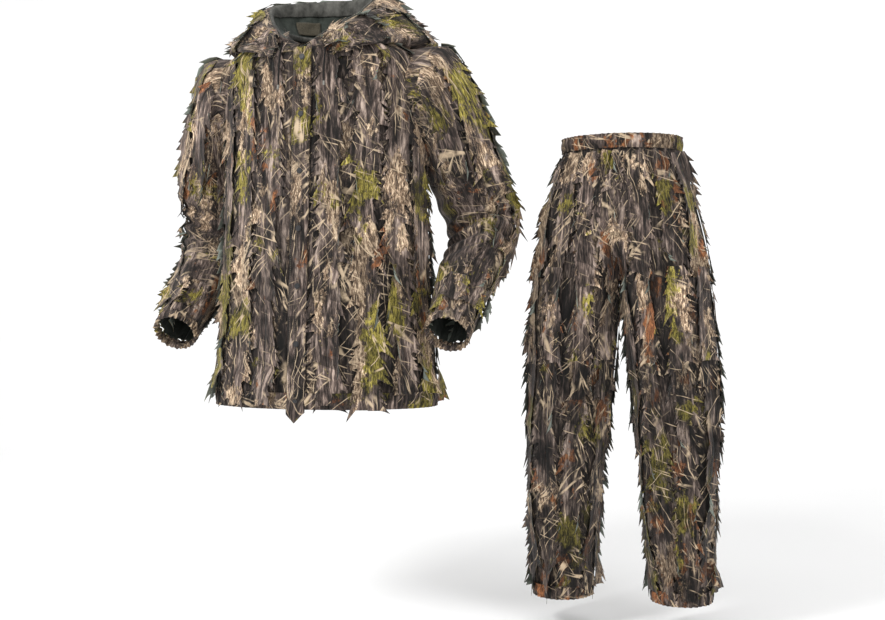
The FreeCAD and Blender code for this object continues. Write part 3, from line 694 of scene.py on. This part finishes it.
# Level and half width of the jacket body's rings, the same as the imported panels'.
TORSO_RINGS = [(-0.004, 0.098), (-0.030, 0.150), (-0.062, 0.222), (-0.110, 0.236), (-0.300, 0.232),
               (-0.520, 0.238), (-0.800, 0.254)]
NECK_DEPTH = 0.096
SLOPE_DEPTH = 0.120
CHEST_TOP, CHEST_DEPTH, CHEST_SLOPE = -0.070, 0.135, 0.0526
HEM_TOP, HEM_BOTTOM = -0.795, -0.830
SHOULDER_JOINT = Vector((0.247, 0.025, -0.155))
ARMHOLE_WIDE, ARMHOLE_TALL = 0.094, 0.092
PLACKET_HALF = 0.021
PLACKET_TOP, PLACKET_BOTTOM, PLACKET_POINT = -0.054, -0.836, -0.858
PLACKET_LIFT = 0.0046
NECKLINE_DROP = 0.052
NECKLINE_HALF = 0.084


def front_depth(level):
    if level > -0.02:
        return NECK_DEPTH
    if level > -0.05:
        return SLOPE_DEPTH
    return CHEST_DEPTH + CHEST_SLOPE * (CHEST_TOP - level)


def upright_tube(rings, middle=Vector((0, 0, 0)), folds=None, pinch=None):
    """Level rings given as level, offset to the wearer's left, half width and half depth."""
    return Tube([(middle + Vector((x, 0, level)), LEFT * wide, FRONT * deep)
                 for level, x, wide, deep in rings], folds, pinch)


def torso_folds(u, t):
    """Soft upright folds that deepen towards the gathered hem, and none under the placket."""
    soft = 0.0035 * sin(7 * u + 1.3 + 2.0 * sin(3.1 * t)) * smooth(t, 0.25, 1.0)
    gather = 0.005 * sin(31 * u + 1.7 * sin(5 * u)) * smooth(t, 0.93, 1.0)
    return (soft + gather) * (1 - hump(sin(u / 2), 0, 0.11)) - 0.001


TORSO = upright_tube([(level, 0, wide, front_depth(level)) for level, wide in TORSO_RINGS], folds=torso_folds)
TORSO.flare = 0.008


def torso_t(level):
    return clamp((TORSO_RINGS[0][0] - level) / TORSO.length)


def neckline_top(u):
    """The V of the open neck: a front panel's columns start lower the nearer they are to the middle."""
    x = abs(sin(u)) * 0.16
    return torso_t(-NECKLINE_DROP + (NECKLINE_DROP - 0.006) * clamp(x / NECKLINE_HALF))


def outside_armhole(point):
    if abs(point.x) < ARMHOLE_WIDE:
        return True
    y = (point.y - SHOULDER_JOINT.y) / (ARMHOLE_WIDE - 0.006)
    z = (point.z - SHOULDER_JOINT.z) / (ARMHOLE_TALL - 0.006)
    return y * y + z * z > 1


def make_jacket_body():
    """Back panel, two front panels and the band under the placket, sewn at the sides."""
    edge = asin(PLACKET_HALF / 0.235)
    side = pi / 2
    panels = (("jacket_back", "back_panel", side, 3 * side, 90, None),
              ("jacket_left_front", "left_front_panel", edge, side, 44, neckline_top),
              ("jacket_right_front", "right_front_panel", -side, -edge, 44, neckline_top),
              ("jacket_under_placket", "under_placket", -edge, edge, 8, neckline_top))
    for number, (name, node, u_from, u_to, across, top) in enumerate(panels):
        cloth = cloth_panel(TORSO, u_from, u_to, 0, 1, across, 90, 3.1 + number * 2.6, top)
        cloth.keep(outside_armhole)
        lined_panel(name, cloth, GROUND_PRINT_PAINTED_SHADE, [node], "jacket")


def make_jacket_leaves():
    """Leaf strips down both fronts and the back."""
    def front_top(angle):
        return neckline_top(angle) + 0.012

    panels = (("left_front_leaf_strips", in_radians(16, 36, 57, 79), front_top, 11),
              ("right_front_leaf_strips", in_radians(-19, -38, -58, -80), front_top, 23),
              ("back_leaf_strips", in_radians(101, 121, 141, 161, 180, 199, 219, 239, 259), 0.02, 37))
    for node, lines, top, seed in panels:
        leaf_strips(node, TORSO, lines, top, 1.022, JACKET_LEAF, seed, LEAF_PRINT, "jacket",
                    name="jacket_" + node)


def make_hem():
    """The jacket's gathered hem, with its elastic out of sight in the casing."""
    half_width = TORSO_RINGS[-1][1]
    tube = upright_tube([(level, 0, half_width, front_depth(level)) for level in (HEM_TOP, HEM_BOTTOM)])
    gathered_band("jacket_hem", tube, 74, 0.004, 0.003, 5, JACKET_PRINT, "jacket")


def placket_surface_y(level):
    return -front_depth(level) - PLACKET_LIFT


def make_placket():
    """The strip over the snaps, sewn along its wearer's-left edge, with a pointed end."""
    def corner(down, share):
        level = PLACKET_TOP + (PLACKET_BOTTOM - PLACKET_TOP) * down
        x = share * PLACKET_HALF + 0.0009 * sin(level * 31 + share)
        point_drop = (PLACKET_BOTTOM - PLACKET_POINT) * (1 - abs(share)) * smooth(down, 0.97, 1.0)
        edge = smooth(abs(share), 0.80, 1.0)
        pucker = 0.0007 * sin(level * 130 + 2.3 * share) * hump(abs(share), 0.8, 0.25)
        over_hem = 0.006 * smooth(down, 0.955, 1.0) * (1 - edge)
        y = placket_surface_y(level) + 0.0016 * edge - pucker - over_hem
        return Vector((x, y, level - point_drop)), (x + 4.0, level, 7.7)

    cloth = cloth_grid(spread(0, 1, 150), spread(-1, 1, 14), corner, flip=True)
    obj = cloth.build("jacket_placket", JACKET_PRINT, PLACKET_THICKNESS)
    seam_start, seam_end = points((PLACKET_HALF + 0.010, -CHEST_DEPTH, -0.45),
                                  (PLACKET_HALF - 0.009, -CHEST_DEPTH, -0.45))
    belongs(obj, ["front_placket"], bends=("jacket", "placket_flap", seam_start, seam_end))


def make_stitches():
    """Two rows of thread down the placket."""
    cloth = Cloth()
    length, gap, half, height = 0.0034, 0.0013, 0.0005, 0.0006
    for x in (-PLACKET_HALF * 0.80, -0.0035):
        level = PLACKET_TOP - 0.012
        while level > PLACKET_BOTTOM + 0.01:
            rows = []
            for down in (0.0, 0.25, 0.75, 1.0):
                z = level - length * down
                y = placket_surface_y(z) - 0.0002
                rise = height if 0 < down < 1 else 0.0
                row = points((x - half, y, z), (x, y - rise, z), (x + half, y, z))
                rows.append([(point, (0, 0, 0)) for point in row])
            cloth.grid(rows, flip=True)
            level -= length + gap
    obj = cloth.build("placket_stitches", THREAD, THREAD_THICKNESS)
    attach(obj, "placket_flap")


make_jacket_body()
make_jacket_leaves()
make_hem()
make_placket()
make_stitches()


# ---- hood ----

SEAM_WIDE, SEAM_DEEP, SEAM_LEVEL = 0.094, 0.092, 0.002
SEAM_OPENS = radians(118)
V_APEX = Vector((-0.004, -0.128, -0.056))
# Angles round from the middle of the back to the V's apex, and the hood's rim at them. The left side laps
# nearer the middle.
RIM_ANGLES = in_radians(0, 45, 90, 120, 145, 172)
REACH = RIM_ANGLES[-1]
RIM_LEFT = points((0, 0.126, 0.103), (0.078, 0.108, 0.099), (0.100, 0.040, 0.082), (0.080, -0.030, 0.032),
                  (0.040, -0.092, -0.012), V_APEX)
RIM_RIGHT = points((0, 0.126, 0.103), (-0.088, 0.106, 0.099), (-0.138, 0.040, 0.080), (-0.124, -0.020, 0.048),
                   (-0.074, -0.092, -0.010), V_APEX)
# Outside the rim on the left: where the rolled cloth is fullest, its lower edge, and where it tucks under.
BELLY = points((0, 0.208, -0.030), (0.145, 0.172, -0.025), (0.204, 0.060, 0.014), (0.176, -0.042, 0.000),
               (0.104, -0.114, -0.036), V_APEX + Vector((0.018, -0.004, -0.004)))
BOTTOM = points((0, 0.196, -0.205), (0.130, 0.166, -0.165), (0.232, 0.066, -0.036), (0.206, -0.050, -0.034),
                (0.120, -0.124, -0.058), V_APEX + Vector((0.018, -0.002, -0.008)))
TUCK = points((0, 0.148, -0.200), (0.110, 0.128, -0.165), (0.196, 0.062, -0.046), (0.172, -0.044, -0.044),
              (0.106, -0.110, -0.048), V_APEX + Vector((0.012, 0.004, -0.004)))
ROLL = 0.018
TUNNEL_DEPTH = 0.036
TUNNEL_NARROWS = in_radians(85, 125)
HOOD_PLACES = [0.0, 0.16, 0.30, 0.58, 0.86, 1.0]
HOOD_BEND = ("jacket", "hood", *points((0, -0.110, -0.030), (0, 0, 0.020)))
SKIRT_BEND = ("jacket", "hood", *points((0, 0.10, 0), (0, 0.14, -0.16)))


def on_angle(keys, angle):
    """The value at an angle round from the back, mirrored for the wearer's right."""
    value = pass_through(RIM_ANGLES, keys, abs(angle)).copy()
    if angle < 0:
        value.x = -value.x
    return value


def rim(angle):
    keys = RIM_LEFT if angle >= 0 else RIM_RIGHT
    return pass_through(RIM_ANGLES, keys, abs(angle)).copy()


def seam(angle):
    """The neck seam, round the back and down both sides of the V."""
    turn = min(abs(angle), SEAM_OPENS)
    side = 1 if angle >= 0 else -1
    place = Vector((SEAM_WIDE * sin(turn) * side, SEAM_DEEP * cos(turn), SEAM_LEVEL))
    return place.lerp(V_APEX, clamp((abs(angle) - SEAM_OPENS) / (REACH - SEAM_OPENS)))


def crest(angle):
    """The top of the roll, just outside the rim."""
    edge = rim(angle)
    outward = on_angle(BELLY, angle) - edge
    outward.z = 0
    roll = ROLL * (1 - smooth(abs(angle), radians(140), REACH))
    return edge + outward.normalized() * roll + Vector((0, 0, 0.003))


class HoodOutside(Surface):
    """The hood's outer face on the shoulders, from the rim over the roll, down and under."""

    turn = -1
    length = 0.30

    def point(self, u, t):
        keys = [rim(u), crest(u), crest(u).lerp(on_angle(BELLY, u), 0.45) + Vector((0, 0, 0.010)),
                on_angle(BELLY, u), on_angle(BOTTOM, u), on_angle(TUCK, u)]
        place = pass_through(HOOD_PLACES, keys, t)
        ripple = 0.004 * sin(9 * u + 5 * t) + 0.003 * sin(17 * u - 9 * t)
        away = Vector((place.x, place.y - 0.02, 0))
        return place + away.normalized() * ripple * smooth(t, 0.05, 0.3)

    def radius(self, t):
        return 0.16


class HoodInside(Surface):
    """The hood's inner face, from the rim down to the neck seam."""

    turn = 1
    length = 0.10

    def point(self, u, t):
        top, low = rim(u), seam(u)
        hollow = Vector((top.x, top.y - 0.01, 0)).normalized() * (0.010 * sin(pi * t))
        wrinkle = 0.0025 * sin(14 * u + 6 * t) * sin(pi * clamp(t))
        return top.lerp(low, t) + hollow * (1 + wrinkle * 90)

    def radius(self, t):
        return 0.11


OUTSIDE, INSIDE = HoodOutside(), HoodInside()


def make_hood_shell():
    """Two outer panels meeting at the back, and the grey lining."""
    for side, name in SIDES:
        u_from, u_to = (0, REACH) if side > 0 else (-REACH, 0)
        cloth = cloth_panel(OUTSIDE, u_from, u_to, 0.03, 1, 60, 44, 21.0 + side)
        nodes = ["hood_" + name + "_panel"]
        lined_panel("hood_" + name + "_outer", cloth, JACKET_PRINT, nodes, bends=HOOD_BEND)
    cloth = cloth_panel(INSIDE, -REACH, REACH, 0.20, 1, 120, 20, 27.0)
    obj = cloth.build("hood_lining", LINING, CLOTH_THICKNESS)
    belongs(obj, [], bends=HOOD_BEND)


def make_tunnel():
    """A turned band along the rim, stitched down inside, with the drawcord hidden in it."""
    def inside(level, u):
        down, lift = level
        narrower = 1 - 0.75 * smooth(abs(u), *TUNNEL_NARROWS)
        t = min(0.5, down * narrower / max((rim(u) - seam(u)).length, 0.03))
        here, normal, _, _ = INSIDE.frame(u, t)
        gather = 0.0009 * sin(70 * u + 3 * sin(9 * u)) * smooth(down, 0.0, TUNNEL_DEPTH)
        return here + normal * (lift + gather), (u * 0.11, down, 1.0)

    def outside(level, u):
        t, lift = level
        here, normal, _, _ = OUTSIDE.frame(u, t)
        return here + normal * lift, (u * 0.11, -0.01 - t, 1.0)

    columns = spread(-REACH, REACH, 150)
    levels = ((TUNNEL_DEPTH, 0.0015), (TUNNEL_DEPTH * 0.96, 0.0035), (TUNNEL_DEPTH / 2, 0.0042),
              (0.004, 0.0046))
    rows = [[inside(level, u) for u in columns] for level in levels]
    rows += [[outside(level, u) for u in columns] for level in ((0.0, 0.003), (0.03, 0.003), (0.045, 0.0))]
    cloth = Cloth()
    cloth.grid(rows)
    obj = cloth.build("hood_tunnel", BAND_CLOTH, BAND_THICKNESS)
    belongs(obj, ["hood_edge_tunnel"], bends=HOOD_BEND)


def make_hood_leaves():
    """Leaf strips over the hood's outer face, down from the rim."""
    lines = in_radians(-150, -124, -98, -70, -42, -14, 14, 42, 70, 98, 124, 150)
    leaf_strips("hood_leaf_strips", OUTSIDE, lines, 0.13, 0.93, HOOD_LEAF, 131, LEAF_PRINT, bends=HOOD_BEND)


def make_neck_skirt():
    """The hidden part of the hood, from the neck seam to the roll's underside."""
    def corner(share, u):
        low = on_angle(TUCK, u) + Vector((0, 0, 0.004))
        high = seam(u) * 1.03 - Vector((0, 0, 0.004))
        belly = Vector((sin(u), cos(u), 0)) * (0.012 * sin(pi * share))
        return high.lerp(low, share) + belly, (u * 0.12, share * 0.168, 33.0)

    cloth = cloth_grid(spread(0, 1, 12), spread(*in_radians(-100, 100), 40), corner, flip=True)
    lined_panel("hood_neck_skirt", cloth, JACKET_PRINT, [], bends=SKIRT_BEND)


def make_neck_binding():
    """A narrow folded tape over the neck seam."""
    def corner(edge, u):
        inward, level = edge
        return seam(u) * (1 - inward / SEAM_WIDE) + Vector((0, 0, level)), (u * 0.09, level, 2.0)

    edges = ((0.0005, -0.004), (0.0035, -0.002), (0.0040, 0.003), (0.0030, 0.0075), (0.0, 0.009))
    cloth = cloth_grid(edges, spread(*in_radians(-116, 116), 90), corner)
    obj = cloth.build("neck_binding_tape", BAND_CLOTH, TAPE_THICKNESS)
    belongs(obj, ["neck_binding"], "jacket")


def make_label():
    """A blank woven label sewn inside the neck by its upper edge."""
    def corner(i, j):
        here, normal, _, _ = INSIDE.frame(radians(-60 + 32 * j / 12), 0.50 + 0.36 * i / 8)
        sag = 0.0035 + 0.0012 * sin(i * 0.7) * sin(j * 0.5)
        return here + normal * sag, (j, i, 0)

    obj = cloth_grid(range(9), range(13), corner).build("neck_label_woven", LABEL_CLOTH, TAPE_THICKNESS)
    belongs(obj, ["neck_label"], bends=HOOD_BEND)


make_hood_shell()
make_tunnel()
make_hood_leaves()
make_neck_skirt()
make_neck_binding()
make_label()


# ---- sleeves ----

ELBOW = Vector((0.325, 0.145, -0.450))
CUFF = Vector((0.316, -0.098, -0.655))
UPPER_RADIUS, ELBOW_RADIUS, FOREARM_RADIUS, CUFF_RADIUS = 0.086, 0.079, 0.062, 0.045
# The sleeve's head: a ring under the hood, and one where the sleeve leaves the shoulder.
HEAD_START, HEAD_START_TALL, HEAD_START_DEEP = Vector((0.196, 0.002, -0.126)), 0.082, 0.070
HEAD_EDGE, HEAD_EDGE_RADIUS = Vector((0.256, 0.028, -0.148)), 0.102
CUFF_LENGTH = 0.024
MID_UPPER_ARM = 0.55
SLEEVE_LINES = in_radians(50, 92, 134, 176, 218, -36, 8)


def square_to(vector, direction):
    """The part of a vector that is square to a direction, as a unit."""
    return (vector - direction * vector.dot(direction)).normalized()


def sleeve_folds(u, t):
    """Soft folds down the sleeve, and deep ones across the crook of the elbow."""
    soft = 0.004 * sin(5 * u + 9 * t)
    crook = 0.0075 * sin(t * 78 + 1.6 * sin(u * 1.5)) * hump(t, 0.55, 0.15)
    gather = 0.003 * sin(17 * u) * smooth(t, 0.9, 1.0)
    return (soft + gather) * smooth(t, 0.0, 0.12) + crook * (0.35 + 0.65 * smooth(cos(u), -0.4, 0.6))


def sleeve_tube(side):
    """The sleeve from armhole to cuff. u = 0 is its front and the crook of the elbow, 90 degrees outside."""
    upper = (ELBOW - SHOULDER_JOINT).normalized()
    fore = (CUFF - ELBOW).normalized()
    outside_upper, outside_fore = square_to(LEFT, upper), square_to(LEFT, fore)
    front_upper = square_to(FRONT, upper)
    front_fore = outside_fore.cross(fore).normalized()
    if front_fore.z < 0:
        front_fore.negate()
    mitre = (front_upper + front_fore) / (1 + front_upper.dot(front_fore))
    up_and_out = Vector((0.36, 0, 0.93)).normalized()
    middle = SHOULDER_JOINT.lerp(ELBOW, 0.5) + outside_upper * 0.014
    rings = [(HEAD_START, -DOWN * HEAD_START_TALL, FRONT * HEAD_START_DEEP),
             (HEAD_EDGE, up_and_out * HEAD_EDGE_RADIUS, FRONT * HEAD_EDGE_RADIUS * 0.96),
             (middle, outside_upper * UPPER_RADIUS, front_upper * UPPER_RADIUS),
             (ELBOW, outside_upper * ELBOW_RADIUS, mitre * ELBOW_RADIUS),
             (ELBOW.lerp(CUFF, 0.5), outside_fore * FOREARM_RADIUS, front_fore * FOREARM_RADIUS),
             (CUFF, outside_fore * CUFF_RADIUS, front_fore * CUFF_RADIUS)]
    return Tube([tuple(on_side(v, side) for v in ring) for ring in rings], sleeve_folds)


def make_sleeve(side, name):
    """One sleeve in two pieces, with its leaf strips and its cuff."""
    tube = sleeve_tube(side)
    split = tube.place_of(on_side(SHOULDER_JOINT.lerp(ELBOW, MID_UPPER_ARM), side))
    under_arm = on_side(SHOULDER_JOINT - Vector((0, 0, ARMHOLE_TALL)), side)
    out_and_down = on_side(Vector((0.50, 0, -0.866)), side)
    shoulder_bend = ("jacket", name + "_upper_arm", under_arm, under_arm + out_and_down * 0.055)
    elbow_bend = (name + "_upper_arm", name + "_forearm", on_side(ELBOW.lerp(SHOULDER_JOINT, 0.22), side),
                  on_side(ELBOW.lerp(CUFF, 0.24), side))
    parts = (("shoulder", "_upper_sleeve", 0.0, split, 34, shoulder_bend),
             ("elbow", "_lower_sleeve", split, 1.0, 78, elbow_bend))
    for part, node, t_from, t_to, along, bend in parts:
        cloth = cloth_panel(tube, -pi, pi, t_from, t_to, 60, along, 4.4 + side)
        lined_panel(name + "_sleeve_" + part, cloth, JACKET_PRINT, [name + node], bends=bend)
    seed = 51 + side * 3

    def start_of_lower(angle):
        """The strips in the crook of the elbow start again near the cuff."""
        return split - 0.02 if angle > radians(20) or angle < radians(-60) else 0.86

    leaf_strips(name + "_upper_sleeve_leaf_strips", tube, SLEEVE_LINES, 0.06, split, UPPER_SLEEVE_LEAF, seed,
                LEAF_PRINT, bends=shoulder_bend)
    leaf_strips(name + "_lower_sleeve_leaf_strips", tube, SLEEVE_LINES, start_of_lower, 0.97,
                LOWER_SLEEVE_LEAF, seed + 1, LEAF_PRINT, bends=elbow_bend)
    make_cuff(tube, side, name)


def make_cuff(tube, side, name):
    """The gathered cuff at the end of a sleeve."""
    centre, aside, forward = tube.ring(1.0)
    along = on_side((CUFF - ELBOW).normalized(), side)
    band = Tube([(centre - along * 0.004, aside, forward), (centre + along * CUFF_LENGTH, aside, forward)])
    gathered_band(name + "_cuff", band, 26, 0.0045, 0.0035, 61 + side, JACKET_PRINT, name + "_forearm")


for side, side_name in SIDES:
    make_sleeve(side, side_name)


# ---- trousers ----

TROUSERS_MIDDLE = Vector((0.640, 0.180, 0))
WAIST_TOP, WAIST_HEIGHT = -0.236, 0.032
# Level, offset, half width and half depth: below the waistband, hips, crotch.
SEAT_RINGS = [(-0.266, 0, 0.130, 0.106), (-0.308, 0, 0.146, 0.116), (-0.420, 0, 0.172, 0.132),
              (-0.556, 0, 0.196, 0.130)]
# One leg's, outwards from the trousers' middle: thigh, knee, ankle.
THIGH_LEVEL, KNEE_LEVEL, ANKLE_LEVEL = -0.556, -0.880, -1.236
LEG_RINGS = [(THIGH_LEVEL, 0.101, 0.095, 0.122), (KNEE_LEVEL, 0.122, 0.092, 0.100),
             (ANKLE_LEVEL, 0.134, 0.064, 0.072)]
ANKLE_HEIGHT = 0.026
THIGH_SPLIT = 0.27
LEG_LINES = in_radians(-62, -22, 18, 58, 98, 140, 182, 224, 262)


def two_legs_outline(u):
    """How deep the two legs' tops are at u, as a share of the seat's half depth there."""
    _, _, wide, deep = SEAT_RINGS[-1]
    _, offset, leg_wide, leg_deep = LEG_RINGS[0]
    across = clamp((abs(wide * sin(u)) - offset) / leg_wide, -1, 1)
    leg = leg_deep * sqrt(max(0.0, 1 - across * across))
    return leg / max(0.02, deep * abs(cos(u)))


def seat_pinch(u, t):
    """The seat closes in between the legs towards the crotch."""
    at_crotch = clamp(two_legs_outline(u), 0.12, 1.0)
    return 1 + (at_crotch - 1) * smooth(t, 0.62, 1.0)


def seat_folds(u, t):
    gathers = 0.0035 * sin(29 * u + 1.5 * sin(4 * u)) * (1 - smooth(t, 0.0, 0.30))
    return gathers + 0.004 * sin(6 * u + 5 * t) * smooth(t, 0.1, 0.4) - 0.001


def leg_folds(u, t):
    soft = 0.0045 * sin(4 * u + 7 * t) + 0.003 * sin(t * 34 + 2 * sin(u)) * hump(t, 0.48, 0.12)
    return soft * smooth(t, 0.0, 0.08) + 0.003 * sin(19 * u) * smooth(t, 0.92, 1.0) - 0.001


SEAT = upright_tube(SEAT_RINGS, TROUSERS_MIDDLE, seat_folds, seat_pinch)


def seat_line(leg_angle, side):
    """The seat's angle where a leg strip at leg_angle meets it."""
    _, _, seat_wide, _ = SEAT_RINGS[-1]
    _, offset, leg_wide, _ = LEG_RINGS[0]
    reach = asin(clamp((offset + leg_wide * sin(leg_angle)) / seat_wide, -1, 1))
    if cos(leg_angle) < 0:
        reach = pi - reach
    return reach * side


def make_seat():
    """Two seat panels joined at front and back, their leaf strips and the gathered waistband."""
    for side, name in SIDES:
        u_from, u_to = (0, pi) if side > 0 else (-pi, 0)
        cloth = cloth_panel(SEAT, u_from, u_to, 0, 1, 54, 44, 6.1 + side)
        lined_panel(name + "_seat", cloth, TROUSER_GROUND_PAINTED_SHADE, [name + "_seat_panel"], "trousers")
    for part, in_front, seed in (("front", True, 71), ("back", False, 79)):
        lines = [seat_line(angle, side) for side, _ in SIDES for angle in LEG_LINES
                 if (cos(angle) > 0) == in_front]
        leaf_strips(part + "_seat_leaf_strips", SEAT, lines, 0.03, 1.03, THIGH_LEAF, seed, TROUSER_LEAF,
                    "trousers")
    _, _, wide, deep = SEAT_RINGS[0]
    levels = (WAIST_TOP, WAIST_TOP - WAIST_HEIGHT)
    band = upright_tube([(level, 0, wide, deep) for level in levels], TROUSERS_MIDDLE)
    gathered_band("waistband", band, 58, 0.0050, 0.0035, 83, TROUSER_PRINT, "trousers")


def make_leg(side, name):
    """One trouser leg in two pieces, with its leaf strips and its gathered ankle."""
    middle = TROUSERS_MIDDLE + LEFT * (LEG_RINGS[0][1] * side)
    tube = upright_tube([(level, offset * side, wide, deep) for level, offset, wide, deep in LEG_RINGS],
                        TROUSERS_MIDDLE, leg_folds)
    tube.flare = 0.006

    def at(level):
        return Vector((middle.x, middle.y, level))

    thigh_bend = ("trousers", name + "_thigh", at(THIGH_LEVEL), at(THIGH_LEVEL - 0.16))
    knee_bend = (name + "_thigh", name + "_shin", at(KNEE_LEVEL + 0.09), at(KNEE_LEVEL - 0.09))
    parts = (("thigh", "_thigh_panel", -0.01, THIGH_SPLIT, 24, thigh_bend),
             ("lower_leg", "_shin_panel", THIGH_SPLIT, 1.0, 64, knee_bend))
    for part, node, t_from, t_to, along, bend in parts:
        cloth = cloth_panel(tube, -pi, pi, t_from, t_to, 56, along, 12.3 + side * 2)
        lined_panel(name + "_" + part, cloth, TROUSER_GROUND_PAINTED_SHADE, [name + node], bends=bend)
    lines = [angle * side for angle in LEG_LINES]
    seed = 91 + side * 4
    leaf_strips(name + "_thigh_leaf_strips", tube, lines, -0.045, THIGH_SPLIT, THIGH_LEAF, seed, TROUSER_LEAF,
                bends=thigh_bend)
    leaf_strips(name + "_shin_leaf_strips", tube, lines, THIGH_SPLIT - 0.015, 1.008, LOWER_LEG_LEAF, seed + 1,
                SHIN_LEAF_PAINTED_SHADE, bends=knee_bend, name=name + "_lower_leg_leaves")
    _, offset, wide, deep = LEG_RINGS[-1]
    band = upright_tube([(ANKLE_LEVEL + 0.003, offset * side, wide, deep),
                         (ANKLE_LEVEL - ANKLE_HEIGHT, offset * side, wide, deep)], TROUSERS_MIDDLE)
    gathered_band(name + "_ankle", band, 34, 0.0045, 0.0035, 97 + side, TROUSER_PRINT, name + "_shin")


make_seat()
for side, side_name in SIDES:
    make_leg(side, side_name)


# ---- the floor and light ----

def make_stage():
    """A pale floor that curves up into a pale wall."""
    floor, reach, back, bend = CAD_BOX[0].z - 0.06, 9.0, 3.6, 1.2
    profile = [(-reach, floor), (back - bend, floor)]
    for step in range(1, 9):
        angle = pi / 2 * step / 8
        profile.append((back - bend + bend * sin(angle), floor + bend * (1 - cos(angle))))
    profile.append((back, floor + 7))
    mesh = bpy.data.meshes.new("stage")
    places = [(x, y, z) for y, z in profile for x in (-reach, reach)]
    faces = [(2 * i, 2 * i + 1, 2 * i + 3, 2 * i + 2) for i in range(len(profile) - 1)]
    mesh.from_pydata(places, [], faces)
    mesh.polygons.foreach_set("use_smooth", [True] * len(faces))
    nodes = Nodes("stage_paper")
    position = nodes.add("ShaderNodeTexCoord").outputs["Object"]
    tone = nodes.noise(position, scale=0.6, detail=2)
    paper = nodes.ramp(tone, [(0.3, (0.90, 0.90, 0.90)), (0.7, (0.94, 0.94, 0.94))])
    mesh.materials.append(nodes.finish(paper, 0.9))
    add_object("stage", mesh)


def area_light(name, place, target, energy, size):
    data = bpy.data.lights.new(name, "AREA")
    data.energy = energy
    data.shape = "DISK"
    data.size = size
    aim(add_object(name, data), place, target)


def make_light():
    """Soft studio light: a big key from high on the viewer's left, a fill, and a bright room."""
    world = bpy.data.worlds.new("studio")
    world.use_nodes = True
    background = world.node_tree.nodes["Background"]
    background.inputs[0].default_value = (1, 1, 1, 1)
    background.inputs[1].default_value = 0.95
    bpy.context.scene.world = world
    area_light("key", (-1.6, -2.6, 1.9), (0.2, 0, -0.5), 95, 1.1)
    area_light("fill", (2.8, -2.2, 0.4), (0.3, 0, -0.6), 26, 1.6)
    bpy.context.scene.view_settings.view_transform = "Standard"


make_stage()
make_light()

KEPT_NODES = ((SNAP_BLACK, ("snap_caps", "snap_sockets", "left_eyelet", "right_eyelet")),
              (SNAP_STEEL, ("snap_studs", "snap_backs")), (CORD_TIP, ("left_cord_tip", "right_cord_tip")))
for node_finish, node_names in KEPT_NODES:
    for node_name in node_names:
        node_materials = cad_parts[node_name].data.materials
        node_materials.clear()
        node_materials.append(node_finish)
